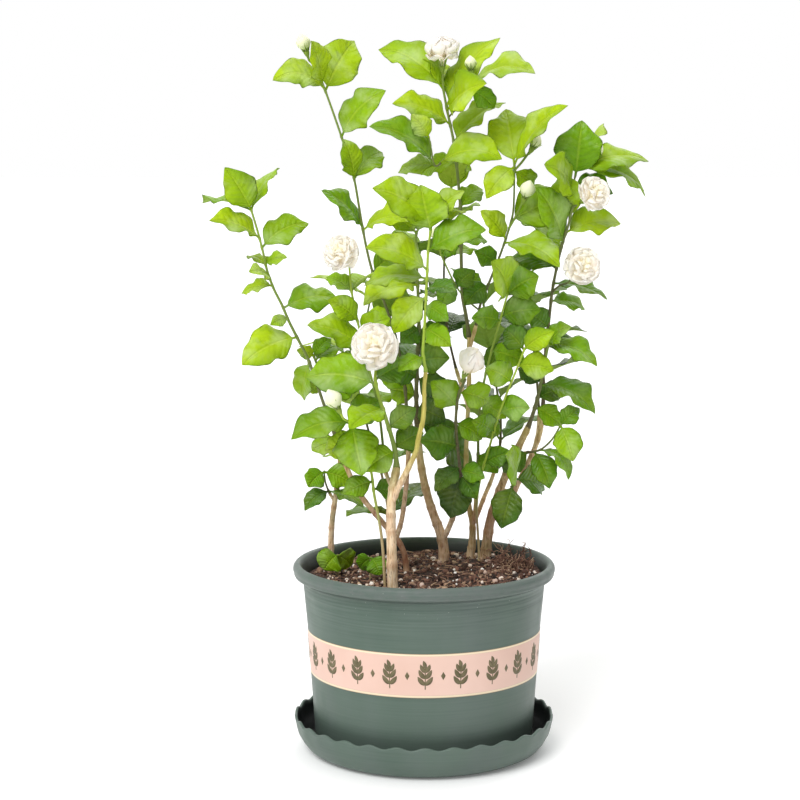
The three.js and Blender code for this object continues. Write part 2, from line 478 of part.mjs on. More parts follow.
// The roomiest of some leaves: the first one that is clear of everything, or else the best.
function pick(candidates, owner) {
  let best = null;
  for (const leaf of candidates) {
    const free = room(samplesOf(leaf), owner);
    if (best === null || free > best.free) best = { leaf, free };
    if (free >= 0) break;
  }
  occupy(samplesOf(best.leaf), owner, LEAF_CLEAR);
  return best;
}

// ---- pot, saucer and soil ----------------------------------------------------------------------

const POT_FOOT = SAUCER_FLOOR + GAP;
const potOuter = [
  [0, POT_FOOT], [80.5, POT_FOOT], [83, POT_FOOT + 2], [86.8, 60.7], [89, 94],
  [92.6, 133.4], [98.8, 134.8], [RIM_RADIUS, 139.4], [98.4, 143.2], [96, RIM_HEIGHT],
];
const POT_INNER = [[90, 133], [83.2, 45], [80.6, POT_FOOT + POT_FLOOR]];
const potProfile = [...potOuter, ...POT_INNER, [0, POT_FOOT + POT_FLOOR]];

function lathe(profile, segments) {
  const points = profile.map(([r, z]) => new THREE.Vector2(r, z));
  const geometry = new THREE.LatheGeometry(points, segments);
  geometry.rotateX(Math.PI / 2);
  return geometry;
}

function cylinder(x, y, z0, z1, radius, sides) {
  const geometry = new THREE.CylinderGeometry(radius, radius, z1 - z0, sides);
  geometry.rotateX(Math.PI / 2);
  geometry.translate(x, y, (z0 + z1) / 2);
  return solid(geometry);
}

function pot() {
  let body = solid(lathe(potProfile, ROUND_SEGMENTS));
  for (let i = 0; i < DRAIN_HOLES; i++) {
    const angle = (2 * Math.PI * (i + 0.5)) / DRAIN_HOLES;
    const x = DRAIN_CIRCLE * Math.cos(angle);
    const y = DRAIN_CIRCLE * Math.sin(angle);
    body = body.subtract(cylinder(x, y, POT_FOOT - 2, POT_FOOT + POT_FLOOR + 2, DRAIN_RADIUS, 6));
  }
  return meshOf("pot", body, RESIN, 0.5);
}

// The saucer's rim rises and falls in even waves, with a crest at the front.
function scallop(angle) {
  return -SCALLOP_RISE * Math.cos(SCALLOPS * angle);
}

function saucer() {
  const profile = [
    [0, 0], [84, 0], [90, 3], [97, 13.5], [99.4, SAUCER_HEIGHT],
    [97.4, SAUCER_HEIGHT], [95, 14], [86.5, SAUCER_FLOOR], [0, SAUCER_FLOOR],
  ];
  const geometry = lathe(profile, SCALLOPS * 2);
  const position = geometry.attributes.position;
  for (let i = 0; i < position.count; i++) {
    const rim = (position.getZ(i) - 15) / (SAUCER_HEIGHT - 15);
    if (rim > 0) {
      const angle = Math.atan2(position.getY(i), position.getX(i));
      position.setZ(i, position.getZ(i) + rim * scallop(angle));
    }
  }
  return meshOf("saucer", solid(geometry), RESIN, 0.5);
}

// The height of the soil: a low mound that falls off to the left and the back.
function soilHeight(x, y) {
  const r = Math.sqrt(x * x + y * y) / 90;
  const ripple = 0.9 * Math.sin(x / 17 + 1) * Math.cos(y / 15);
  return SOIL_LEVEL + 1.4 - 3.4 * r * r + 0.02 * x - 0.012 * y + ripple;
}

const soilRadius = (z) => {
  const [[r1, z1], [r0, z0]] = POT_INNER;
  return r0 + ((r1 - r0) * (z - z0)) / (z1 - z0) - GAP - 0.1;
};

function soil(holes) {
  const floor = POT_FOOT + POT_FLOOR + GAP;
  const top = SOIL_LEVEL - 4;
  const profile = [[0, floor], [80, floor], [soilRadius(45), 45], [soilRadius(top), top],
    [66, top], [34, top], [0, top]];
  const geometry = lathe(profile, ROUND_SEGMENTS);
  const position = geometry.attributes.position;
  for (let i = 0; i < position.count; i++) {
    const x = position.getX(i);
    const y = position.getY(i);
    if (position.getZ(i) > top - 0.01) position.setZ(i, soilHeight(x, y));
  }
  let body = solid(geometry);
  for (const hole of holes) body = body.subtract(hole);
  return meshOf("soil", body, SOIL, 1);
}

// ---- lines: canes and shoots -------------------------------------------------------------------

const byName = {};
const caneParts = {};
const shootParts = {};
const holes = [];

// The point at t on the straight pieces between a line's points, where its solid's axis runs.
function axisAt(points, t) {
  const i = Math.min(Math.floor(t), points.length - 2);
  return add(points[i], sub(points[i + 1], points[i]), t - i);
}

// The point of a line, from t0 to t1, that lies nearest to a point of the front view.
function nearestOn(points, x, z, t0 = 0, t1 = points.length - 1) {
  const steps = Math.ceil((t1 - t0) * 12);
  let best = null;
  for (let i = 0; i <= steps; i++) {
    const point = axisAt(points, t0 + ((t1 - t0) * i) / steps);
    const [fx, fz] = front(point);
    const d = (fx - x) * (fx - x) + (fz - z) * (fz - z);
    if (best === null || d < best.d) best = { d, point };
  }
  return best.point;
}

for (const line of LINES) {
  line.curve = line.points.map(sight);
  line.woodTo = line.wood - 1;
  if (line.from) {
    line.curve[0] = nearestOn(byName[line.from].curve, line.points[0][0], line.points[0][1]);
  } else {
    const [x, y] = line.curve[0];
    line.curve[0] = [x, y, soilHeight(x, y)];
    line.curve.unshift([x, y, soilHeight(x, y) - ROOT_DEPTH]);
    line.woodTo += line.wood > 0 ? 1 : 0;
  }
  byName[line.name] = line;
}

// The stretch behind a bloom or bud: from the line to the calyx, in the direction that it faces.
for (const flower of [...BLOOMS, ...BUDS]) {
  flower.centre = sight(flower.at);
  flower.axis = unit(flower.facing);
  const short = flower.closed || BUDS.includes(flower);
  flower.back = short ? 0.62 * flower.size : 0.44 * flower.size + 2;
  flower.end = add(flower.centre, flower.axis, -flower.back);
  const line = byName[flower.line];
  if (flower.side) {
    const start = nearestOn(line.curve, flower.side[0], flower.side[1]);
    const middle = add(add(start, sub(flower.end, start), 0.5), flower.axis, -3);
    flower.pedicel = [start, middle, flower.end];
  } else {
    line.curve.push(add(flower.end, flower.axis, -STRAIGHT_END), flower.end);
  }
}

for (const line of LINES) {
  const last = line.curve.length - 1;
  const [r0, r1] = line.r;
  const radiusAt = (t) => r0 + ((r1 - r0) * t) / last;
  const owner = line.shoot;
  if (line.wood > 0) {
    const sides = r0 > 2.6 ? 6 : 5;
    (caneParts[line.cane] ??= []).push(solid(stem(line.curve, 0, line.woodTo, radiusAt, sides)));
  }
  if (!line.from) {
    const [x, y, z] = line.curve[0];
    const sides = 6;
    const radius = (r0 + GAP + 0.05) / Math.cos(Math.PI / sides);
    holes.push(cylinder(x, y, z - GAP, z + ROOT_DEPTH + 4, radius, sides));
  }
  line.greenFrom = 0;
  if (line.wood > 0) {
    const next = line.curve[line.woodTo + 1];
    line.greenFrom = line.woodTo + (1.2 * GAP) / size(sub(next, line.curve[line.woodTo]));
  }
  const corners = r0 > 2.2 ? 5 : 4;
  (shootParts[owner] ??= []).push(solid(stem(line.curve, line.greenFrom, last, radiusAt, corners)));
  for (let t = 0; t < last; t += 0.25) {
    const wood = t < line.greenFrom;
    occupy([axisAt(line.curve, t)], wood ? line.cane : owner, radiusAt(t) + STEM_CLEAR);
  }
}

// Calyx and pedicel, in the shoot's node; corolla or bud, in a node of its own.
const flowerMeshes = [];

function frameOf(axis) {
  const u = across(Math.abs(axis[2]) < 0.9 ? [0, 0, 1] : [0, 1, 0], axis);
  return [u, cross(axis, u)];
}

function turned(profile, centre, axis, sides) {
  const [u, v] = frameOf(axis);
  const rings = profile.slice(1, -1).map(([r, h]) => Array.from({ length: sides }, (_, j) => {
    const angle = (2 * Math.PI * j) / sides;
    return add(add(add(centre, axis, h), u, r * Math.cos(angle)), v, r * Math.sin(angle));
  }));
  return skin(add(centre, axis, profile[0][1]), rings, add(centre, axis, profile.at(-1)[1]));
}

function petal(centre, axis, angle, root, tip, width, cup) {
  const [u, v] = frameOf(axis);
  const out = add(u.map((k) => k * Math.cos(angle)), v, Math.sin(angle));
  const side = cross(axis, out);
  const place = (r, h) => add(add(centre, out, r), axis, h);
  const start = place(root[0], root[1]);
  const end = place(tip[0], tip[1]);
  const along = unit(sub(end, start));
  const face = cross(side, along);
  const rings = [[0.42, 0.5, -cup], [0.84, 0.92, -cup * 0.8]].map(([t, w, sag]) => {
    const middle = add(add(start, sub(end, start), t), face, -sag);
    const edge = add(middle, face, sag * 0.5);
    return [add(edge, side, (width / 2) * w), add(middle, face, -0.6), add(edge, side, (-width / 2) * w),
      add(middle, face, 0.6)];
  });
  return solid(skin(start, rings, end, true));
}

const BLOOM_HEART = [[0.2, -0.14], [0.26, 0.02], [0.17, 0.18], [0, 0.26]]; // radius and height, by the size
const BALL_HEART = [[0.3, -0.32], [0.4, 0], [0.3, 0.3], [0, 0.42]];
const BLOOM_LAYERS = [ // petals, root radius and height, tip radius and height, width, cup, all by the size
  { count: 6, root: [0.13, -0.1], tip: [0.5, -0.04], width: 0.42, cup: 0.05 },
  { count: 5, root: [0.1, 0.03], tip: [0.4, 0.17], width: 0.34, cup: 0.06 },
  { count: 3, root: [0.04, 0.1], tip: [0.22, 0.31], width: 0.3, cup: 0.04 },
];
const BALL_LAYERS = [
  { count: 5, root: [0.3, -0.3], tip: [0.33, 0.34], width: 0.42, cup: -0.14 },
  { count: 3, root: [0.16, 0.2], tip: [0.1, 0.5], width: 0.26, cup: -0.06 },
];

for (const bloom of BLOOMS) {
  const d = bloom.size;
  const { centre, axis, back, closed } = bloom;
  const foot = -back + GAP;
  const tube = [[0, foot], [NECK_RADIUS, foot], [NECK_RADIUS + 0.4, closed ? -0.5 * d : -0.3 * d]];
  const heart = closed ? BALL_HEART : BLOOM_HEART;
  const core = [...tube, ...heart.map(([r, h]) => [r * d, h * d])];
  const parts = [solid(turned(core, centre, axis, 6))];
  (closed ? BALL_LAYERS : BLOOM_LAYERS).forEach((layer, k) => {
    for (let i = 0; i < layer.count; i++) {
      const angle = (2 * Math.PI * (i + 0.5 * k + 0.13)) / layer.count;
      const root = layer.root.map((q) => q * d);
      const tip = layer.tip.map((q) => q * d);
      parts.push(petal(centre, axis, angle, root, tip, layer.width * d, layer.cup * d));
    }
  });
  flowerMeshes.push(meshOf(bloom.name, fuse(parts), PETAL, 0.6));
  occupy([centre], bloom.name, 0.5 * d + FLOWER_CLEAR);
}

for (const bud of BUDS) {
  const d = bud.size;
  const body = [[0, -bud.back + GAP], [1.3, -bud.back + GAP], [0.34 * d, -0.34 * d], [0.5 * d, -0.04 * d],
    [0.4 * d, 0.28 * d], [0.16 * d, 0.52 * d], [0, 0.6 * d]];
  flowerMeshes.push(meshOf(bud.name, turned(body, bud.centre, bud.axis, 6), BUD, 0.55));
  occupy([bud.centre], bud.name, 0.6 * d + FLOWER_CLEAR);
}

for (const flower of [...BLOOMS, ...BUDS]) {
  const line = byName[flower.line];
  const parts = shootParts[line.shoot];
  if (flower.pedicel) {
    parts.push(solid(stem(flower.pedicel, 0, 2, () => PEDICEL_RADIUS, 4)));
    for (let t = 0.5; t < 2; t += 0.25) {
      occupy([axisAt(flower.pedicel, t)], line.shoot, PEDICEL_RADIUS + STEM_CLEAR);
    }
  }
  const cup = [[0, -CALYX_DEPTH], [1, -CALYX_DEPTH], [CALYX_RADIUS, 0], [0, 0]];
  parts.push(solid(turned(cup, flower.end, flower.axis, 6)));
}

// ---- leaves of the drawn lines -----------------------------------------------------------------

// How much deeper or less deep than drawn a tip may lie, in the order in which these are tried.
const REACHES = [0, -5, 5, -10, 10, -15, 15, -21, 21, -28, 28, 35, -35];
let phase = 0;

for (const line of LINES) {
  for (const [bx, bz, tx, tz, seen, reach, lift] of line.leaves ?? []) {
    phase += 2.1;
    const base = nearestOn(line.curve, bx, bz, line.greenFrom + 0.12, line.curve.length - 1.12);
    const candidates = REACHES.map((more) => {
      const tip = sight([tx, tz, base[1] + reach + more]);
      const chord = sub(tip, base);
      const along = unit(chord);
      const width = Math.max(LEAF_BREADTH * seen, Math.min(LEAF_RATIO * size(chord), LEAF_WIDEST));
      const facing = across(sub([EYE.x, EYE.y, EYE.z], base), along);
      const tilt = Math.acos(Math.min(1, (LEAF_BREADTH * seen) / width));
      const turn = cross(along, facing);
      const high = turn[2] >= 0 ? 1 : -1;
      const up = add(facing.map((k) => k * Math.cos(tilt)), turn, high * Math.sin(tilt));
      return makeLeaf(base, tip, width, up, lift, phase);
    });
    shootParts[line.shoot].push(solid(leafSolid(pick(candidates, line.shoot).leaf)));
  }
}

// ---- leaves in pairs by rule -------------------------------------------------------------------

const TURNS = [0, 0.35, -0.35, 0.7, -0.7, 1.1, -1.1, 1.5, -1.5]; // round the stem, from its heading
const TILTS = [0, 0.35, -0.4]; // up or down
const PAIR_TURN = 1.65; // from one pair of leaves to the next
const random = sequence(4711);

for (const line of LINES) {
  if (!line.pairs) continue;
  const last = line.curve.length - 1;
  const first = Math.max(line.greenFrom + 0.4, 3);
  const top = last - 0.1;
  for (let i = 0; i < line.pairs; i++) {
    const t = first + ((top - first) * i) / (line.pairs - 1);
    const base = axisAt(line.curve, t);
    const heading = i * PAIR_TURN + (line.phase ?? 0.4) + random();
    const climb = i === line.pairs - 1 ? 0.5 : 0;
    for (const half of [0, Math.PI]) {
      const length = 38 + 14 * random();
      const rise = 0.1 + 0.45 * random();
      const candidates = TURNS.flatMap((turn) => TILTS.map((tilt) => {
        const angle = heading + half + turn;
        const way = unit([Math.cos(angle), Math.sin(angle), rise + tilt + climb]);
        const up = [0.2 * Math.sin(angle), 0, 1];
        return makeLeaf(base, add(base, way, length), LEAF_RATIO * length, up, 2, heading);
      }));
      const { leaf, free } = pick(candidates, line.shoot);
      if (free >= 0) shootParts[line.shoot].push(solid(leafSolid(leaf)));
    }
  }
}

// ---- the group ---------------------------------------------------------------------------------

const group = new THREE.Group();
group.add(pot(), saucer(), soil(holes));
for (const [name, parts] of Object.entries(caneParts)) group.add(meshOf(name, fuse(parts), WOOD, 0.8));
for (const [name, parts] of Object.entries(shootParts)) group.add(meshOf(name, fuse(parts), LEAF, 0.45));
group.add(...flowerMeshes);

export default group;
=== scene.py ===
import math
from functools import cached_property, partialmethod
import bmesh
import bpy
import numpy as np
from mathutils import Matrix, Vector


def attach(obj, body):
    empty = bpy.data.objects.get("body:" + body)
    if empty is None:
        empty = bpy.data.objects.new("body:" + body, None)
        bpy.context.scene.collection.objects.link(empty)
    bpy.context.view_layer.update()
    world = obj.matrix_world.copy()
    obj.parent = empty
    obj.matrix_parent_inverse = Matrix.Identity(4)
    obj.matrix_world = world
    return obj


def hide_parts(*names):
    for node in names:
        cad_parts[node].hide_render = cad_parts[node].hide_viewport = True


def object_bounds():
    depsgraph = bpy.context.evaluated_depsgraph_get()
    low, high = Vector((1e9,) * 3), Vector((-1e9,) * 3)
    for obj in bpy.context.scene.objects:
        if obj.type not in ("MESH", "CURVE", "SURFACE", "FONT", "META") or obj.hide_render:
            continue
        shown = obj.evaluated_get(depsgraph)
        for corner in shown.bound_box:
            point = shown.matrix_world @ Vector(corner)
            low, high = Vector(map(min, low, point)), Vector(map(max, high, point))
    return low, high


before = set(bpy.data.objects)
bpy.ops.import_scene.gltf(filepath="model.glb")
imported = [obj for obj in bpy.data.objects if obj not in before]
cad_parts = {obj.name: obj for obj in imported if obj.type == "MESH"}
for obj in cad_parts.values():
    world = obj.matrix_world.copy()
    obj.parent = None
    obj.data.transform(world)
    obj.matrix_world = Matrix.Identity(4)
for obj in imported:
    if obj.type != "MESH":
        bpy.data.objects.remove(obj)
cad_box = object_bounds()

# The looks of a potted Arabian jasmine. Lengths are in millimetres up to the last step, which makes each
# piece in metres. The plant's lines and leaves repeat the frame's own rule, so each fine leaf lies in the
# solid that it stands for.

MM = 0.001
INSET = 1e-5  # how far every piece keeps inside the CAD's box, in metres

# ---- the frame's own sizes ----

POT_FOOT = 2.9
RIM_HEIGHT = 144
WALL_LOW, WALL_HIGH = (83.2, 45), (90, 133)  # radius and height, on the inside of the pot
BAND_BOTTOM, BAND_TOP = 60.7, 94
BAND_RADIUS = 88
BAND_FOOT, BAND_FLARE = 87.05, 2.05  # the band's radius at its bottom, and how much wider its top is
SAUCER_FLOOR = 2.6
SAUCER_HEIGHT = 25
SCALLOPS = 30
SCALLOP_RISE = 1.1
SOIL_LEVEL = 136
SOIL_RADIUS = 90
ROOT_DEPTH = 12
GAP = 0.3
EYE = (-18.3, -1500.0, 456.7)  # where the front view is drawn from, and where the camera stands

LEAF_RATIO = 0.6
LEAF_BREADTH = 1.3
LEAF_WIDEST = 31
LEAF_FOLD = 0.2
LEAF_WAVE = 0.045
LEAF_ARCH = 0.09
LEAF_CLEAR = 6.9
TWIN_CLEAR = 5.4

# ---- camera and light ----

PHOTO_PIXELS = 800
FOCAL_PIXELS = 1998.3
CAMERA_PITCH = 0.12505  # how far the camera looks down, in radians
SENSOR = 36.0
SUNS = [  # name, the way that the light goes, strength, and the angle that it is spread over
    ("key", (0.42, 0.75, -0.85), 2.05, 0.6),
    ("back", (-0.25, -0.7, -0.75), 0.75, 0.8),
]


def add_object(name, data):
    made = bpy.data.objects.new(name, data)
    bpy.context.scene.collection.objects.link(made)
    return made


def make_camera():
    data = bpy.data.cameras.new("camera")
    data.sensor_width = SENSOR
    data.lens = SENSOR * FOCAL_PIXELS / PHOTO_PIXELS
    data.clip_start = 0.05
    camera = add_object("camera", data)
    camera.location = [v * MM for v in EYE]
    camera.rotation_euler = (math.pi / 2 - CAMERA_PITCH, 0, 0)
    bpy.context.scene.camera = camera


def make_suns():
    for name, way, strength, spread in SUNS:
        data = bpy.data.lights.new(name, "SUN")
        data.energy = strength
        data.angle = spread
        add_object(name, data).rotation_euler = Vector(way).to_track_quat("-Z", "Y").to_euler()


# ---- small helpers ----


def vector(*values):
    return np.array(values, float)


def unit(a):
    return a / np.sqrt((a * a).sum(-1, keepdims=True))


def across(a, axis):
    return unit(a - axis * (a * axis).sum(-1, keepdims=True))


def fade(low, high, x):
    """A smooth step from 0 at low to 1 at high."""
    u = np.clip((x - low) / (high - low), 0, 1)
    return u * u * (3 - 2 * u)


def round_off(s):
    """From 0 at the margins to 1 in the middle, as on a half circle."""
    return np.sqrt(np.maximum(0, 1 - s * s))


def ring_angles(sides):
    return np.linspace(0, 2 * np.pi, sides, endpoint=False)


def by_row(value):
    """A value of every row, as a column; other values stay as they are."""
    value = np.asarray(value, float)
    return value[:, None] if value.ndim == 1 else value


UP = vector(0, 0, 1)
ANY_PHASE = (0, 6.3)
ANY_ANGLE = (0, 6.2832)


class Sequence:
    """A seeded sequence of numbers from 0 to 1."""

    def __init__(self, seed):
        self.state = seed

    def __call__(self):
        self.state = self.state * 16807 % 2147483647
        return self.state / 2147483647


def sight(place):
    """The point in space at a place of the front view, given as x, z and depth."""
    x, z, depth = place
    k = (depth - EYE[1]) / -EYE[1]
    return vector(EYE[0] + (x - EYE[0]) * k, depth, EYE[2] + (z - EYE[2]) * k)


def front(point):
    """Where a point is seen in the front view."""
    k = (point[1] - EYE[1]) / -EYE[1]
    return EYE[0] + (point[0] - EYE[0]) / k, EYE[2] + (point[2] - EYE[2]) / k


def axis_at(points, t):
    i = min(math.floor(t), len(points) - 2)
    return points[i] + (points[i + 1] - points[i]) * (t - i)


def nearest_on(points, x, z, t0=0.0, t1=None):
    """The t from t0 to t1 at which a line of points is seen nearest to x, z."""
    t1 = len(points) - 1 if t1 is None else t1
    steps = math.ceil((t1 - t0) * 12)

    def miss(t):
        fx, fz = front(axis_at(points, t))
        return (fx - x) * (fx - x) + (fz - z) * (fz - z)

    return min((t0 + (t1 - t0) * i / steps for i in range(steps + 1)), key=miss)


def soil_height(x, y):
    r = np.sqrt(x * x + y * y) / SOIL_RADIUS
    ripple = 0.9 * np.sin(x / 17 + 1) * np.cos(y / 15)
    return SOIL_LEVEL + 1.4 - 3.4 * r * r + 0.02 * x - 0.012 * y + ripple


class Form:
    """The points, faces and per-point values of one piece, gathered part by part."""

    def __init__(self):
        self.points, self.faces, self.slots, self.values, self.count = [], [], [], {}, 0

    def add(self, points, faces, slot=0, **values):
        self.faces += [[self.count + i for i in face] for face in faces]
        self.slots += [slot] * len(faces)
        self.points.append(points)
        for key in {**self.values, **values}:
            parts = self.values.setdefault(key, [np.zeros(self.count)])
            parts.append(np.broadcast_to(values.get(key, 0.0), len(points)))
        self.count += len(points)

    def rings(self, points, slot=0, **values):
        """A tube through rows of points, closed by fans. A value holds for all, for a row or for a point."""
        rows, columns = points.shape[:2]
        index = np.arange(rows * columns).reshape(rows, columns)
        after = np.roll(index, -1, 1)
        faces = np.stack([index[:-1], after[:-1], after[1:], index[1:]], -1).reshape(-1, 4).tolist()
        faces += [[index.size, b, a] for a, b in zip(index[0], after[0])]
        faces += [[index.size + 1, a, b] for a, b in zip(index[-1], after[-1])]
        for key, value in values.items():
            value = np.broadcast_to(by_row(value), index.shape).reshape(-1)
            values[key] = np.append(value, [value[:columns].mean(), value[-columns:].mean()])
        ends = [points[0].mean(0), points[-1].mean(0)]
        self.add(np.vstack([points.reshape(-1, 3), *ends]), faces, slot, **values)

    def piece(self, name, materials, replaces):
        low, high = map(np.array, cad_box)
        points = np.clip(np.vstack(self.points) * MM, low + INSET, high - INSET)
        mesh = bpy.data.meshes.new(name)
        mesh.from_pydata(points.tolist(), [], self.faces)
        for key, parts in self.values.items():
            layer = mesh.attributes.new(key, "FLOAT", "POINT")
            layer.data.foreach_set("value", np.concatenate(parts).astype(np.float32))
        mesh.polygons.foreach_set("use_smooth", [True] * len(self.faces))
        for material in materials:
            mesh.materials.append(MATERIALS[material])
        mesh.polygons.foreach_set("material_index", self.slots)
        mesh.update()
        made = add_object(name, mesh)
        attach(made, "root")
        if replaces:
            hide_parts(replaces)


# ---- shader nodes ----


class Value:
    """The output of a shader node, which can be counted with like a number."""

    def __init__(self, nodes, socket):
        self.nodes, self.socket = nodes, socket

    def math(self, operation, b=0.0, c=0.0, clamp=False):
        return self.nodes.node("Math", {0: self, 1: b, 2: c}, operation=operation, use_clamp=clamp)

    __add__ = partialmethod(math, "ADD")
    __sub__ = partialmethod(math, "SUBTRACT")
    __mul__ = partialmethod(math, "MULTIPLY")
    __abs__ = partialmethod(math, "ABSOLUTE")
    most = partialmethod(math, "MAXIMUM")
    times_plus = partialmethod(math, "MULTIPLY_ADD")

    def __rsub__(self, other):
        return self.nodes.node("Math", {0: other, 1: self, 2: 0.0}, operation="SUBTRACT")

    def between(self, low, high):
        return self.math("GREATER_THAN", low) * self.math("LESS_THAN", high)

    def range(self, start, end, low=0.0, high=1.0):
        return self.nodes.node("MapRange", {0: self, 1: start, 2: end, 3: low, 4: high})

    def ramp(self, *stops):
        """A run of colours, each given with its position; a plain number is a grey."""
        made = self.nodes.node("ValToRGB", {"Fac": self})
        steps = made.socket.node.color_ramp.elements
        while len(steps) < len(stops):
            steps.new(0.5)
        for step, (position, colour) in zip(steps, stops):
            step.position = position
            step.color = rgba(colour)
        return made

    def mix(self, factor, other, blend="MIX"):
        return self.nodes.node("Mix", {0: factor, 6: self, 7: other}, 2, data_type="RGBA", blend_type=blend)


def rgba(colour):
    return (*colour, 1) if isinstance(colour, tuple) else (colour, colour, colour, 1)


class Nodes:
    """A tree of shader nodes."""

    def __init__(self, tree):
        self.tree = tree

    def set(self, node, inputs):
        for key, value in inputs.items():
            socket = node.inputs[key.replace("_", " ") if isinstance(key, str) else key]
            if isinstance(value, Value):
                self.tree.links.new(value.socket, socket)
            else:
                socket.default_value = rgba(value) if socket.type == "RGBA" else value

    def node(self, kind, inputs, output=0, **settings):
        made = self.tree.nodes.new("ShaderNode" + kind)
        for key, value in settings.items():
            setattr(made, key, value)
        self.set(made, inputs)
        return Value(self, made.outputs[output])


class Shader(Nodes):
    """A material made of nodes, with its Principled shader at the end."""

    def __init__(self, name):
        self.material = bpy.data.materials.new(name)
        self.material.use_nodes = True
        super().__init__(self.material.node_tree)

    @cached_property
    def place(self):
        return self.node("TexCoord", {}, "Object")

    def value(self, name):
        return self.node("Attribute", {}, "Fac", attribute_name=name)

    def noise(self, scale, detail, **mapping):
        place = self.node("Mapping", {"Vector": self.place, **mapping}) if mapping else self.place
        return self.node("TexNoise", {"Vector": place, "Scale": scale, "Detail": detail})

    def cells(self, output, **settings):
        return self.node("TexVoronoi", {"Vector": self.place, "Scale": 420.0}, output, **settings)

    def finish(self, bump=None, **inputs):
        """Sets the Principled shader, with a bump of height, strength and distance if there is one."""
        if bump:
            height, strength, distance = bump
            bump = self.node("Bump", {"Height": height, "Strength": strength, "Distance": distance * MM})
            inputs["Normal"] = bump
        self.set(self.tree.nodes["Principled BSDF"], inputs)
        return self.material


def make_world():
    """White behind the plant and above it; dimmer in front and at the right, where a dark screen stands."""
    world = bpy.data.worlds.new("studio")
    world.use_nodes = True
    nodes = Nodes(world.node_tree)
    way = nodes.node("TexCoord", {}, "Generated")
    x, y, z = (nodes.node("SeparateXYZ", {0: way}, axis) for axis in "XYZ")
    open_to = y.range(-0.1, 0.75).most(z.range(0.35, 0.9, 0.0, 0.85))
    level = x.range(-0.7, 0.8, 0.34, 0.1).times_plus(1.0 - open_to, open_to)
    nodes.set(world.node_tree.nodes["Background"], {"Strength": level, "Color": 1.0})
    bpy.context.scene.world = world
    bpy.context.scene.view_settings.view_transform = "Standard"


def make_floor():
    bpy.ops.mesh.primitive_plane_add(size=60, location=(0, 0, -0.0006))
    floor = bpy.context.object
    floor.name = "floor"
    floor.data.materials.append(Shader("floor").finish(
        Base_Color=0.93, Roughness=1.0, Specular_IOR_Level=0.0, Emission_Color=1.0, Emission_Strength=0.12))


# ---- materials ----

VEINS, VEIN_LEAN, VEIN_CURVE = 9.0, 0.21, 1.25  # side veins on a blade, and how they run to its tip
BORDER, BORDER_EDGE = (0.88, 0.72, 0.52), (0.3, 0.22, 0.13)


def resin_material(name, banded):
    """Grey-green moulded resin, with fine mould rings; the pot also has a pale printed band."""
    shader = Shader(name)
    height = shader.node("SeparateXYZ", {0: shader.place}, "Z")
    colour = shader.noise(9, 3).ramp((0.3, (0.088, 0.13, 0.104)), (0.7, (0.124, 0.172, 0.141)))
    streaks = shader.noise(30, 3, Scale=(1.0, 1.0, 0.08)).ramp((0.4, 0), (0.7, 0.4))
    colour = colour.mix(streaks, (0.14, 0.165, 0.16))
    lines = shader.noise(14, 6, Scale=(1.0, 1.0, 55.0))
    seen = height.range(0.1, 0.122, 0.35)
    colour = colour.mix(lines.ramp((0.48, 0), (0.75, 0.4)) * seen, (0.17, 0.21, 0.19))
    colour = colour.mix(lines.ramp((0.25, 0.5), (0.46, 0)) * seen, (0.06, 0.09, 0.075))
    if banded:
        # Painted shade: the pot is darker towards its foot, where it stands in the saucer.
        colour = colour.mix(height.range(0.036, 0.01, 0.0, 0.5), (0.03, 0.04, 0.034))
    dust = shader.noise(900, 2).ramp((0.73, 0), (0.79, 1))
    colour = colour.mix(dust * height.range(0.11, 0.136), (0.62, 0.65, 0.62))
    scuffs = shader.noise(330, 6, Scale=(0.45, 0.45, 1.0))
    worn = scuffs.ramp((0.35, 0.15), (0.7, 0.7))
    colour = colour.mix(worn * height.range(0.131, 0.134), (0.15, 0.165, 0.158))
    if banded:
        paper = shader.noise(14, 4).ramp((0.3, (0.73, 0.49, 0.4)), (0.7, (0.82, 0.58, 0.49)))
        up = height.range(BAND_BOTTOM * MM, BAND_TOP * MM)
        border = up.ramp((0.0, BORDER_EDGE), (0.016, BORDER), (0.05, BORDER), (0.06, 0),
                         (0.94, 0), (0.95, BORDER), (0.985, BORDER), (0.992, BORDER_EDGE))
        band = border.mix(up.between(0.055, 0.945), paper)
        colour = colour.mix(height.between(BAND_BOTTOM * MM, BAND_TOP * MM) * shader.value("outer"), band)
    # Painted shade: the inside of the pot and of the saucer goes near black, more so deeper below the rim.
    colour = colour.mix(shader.value("depth"), (0.005, 0.007, 0.0065))
    relief = (lines * seen).times_plus(1.2, scuffs * 0.4)
    roughness = shader.noise(60, 4).ramp((0.3, 0.36), (0.7, 0.5))
    return shader.finish((relief, 0.3, 0.3), Base_Color=colour, Roughness=roughness, Specular_IOR_Level=0.22)


def ink_material():
    shader = Shader("ink")
    tone = shader.noise(160, 3).ramp((0.35, (0.12, 0.1, 0.045)), (0.65, (0.17, 0.14, 0.07)))
    return shader.finish(Base_Color=tone, Roughness=0.55)


def soil_material():
    shader = Shader("soil")
    tone = shader.node("SeparateColor", {0: shader.cells("Color")}, "Red")
    colour = tone.ramp((0.0, (0.01, 0.006, 0.004)), (0.4, (0.038, 0.018, 0.012)), (0.75, (0.1, 0.045, 0.03)),
                       (1.0, (0.19, 0.1, 0.068)))
    relief = shader.cells("Distance") + shader.noise(700, 6)
    return shader.finish((relief, 0.9, 1.4), Base_Color=colour, Roughness=0.95)


def grain_material(name, grain, detail, strength, distance, roughness, *stops):
    """Loose bits on the soil, each with its own tone."""
    shader = Shader(name)
    relief = (shader.noise(grain, detail), strength, distance)
    return shader.finish(relief, Base_Color=shader.value("tone").ramp(*stops), Roughness=roughness)


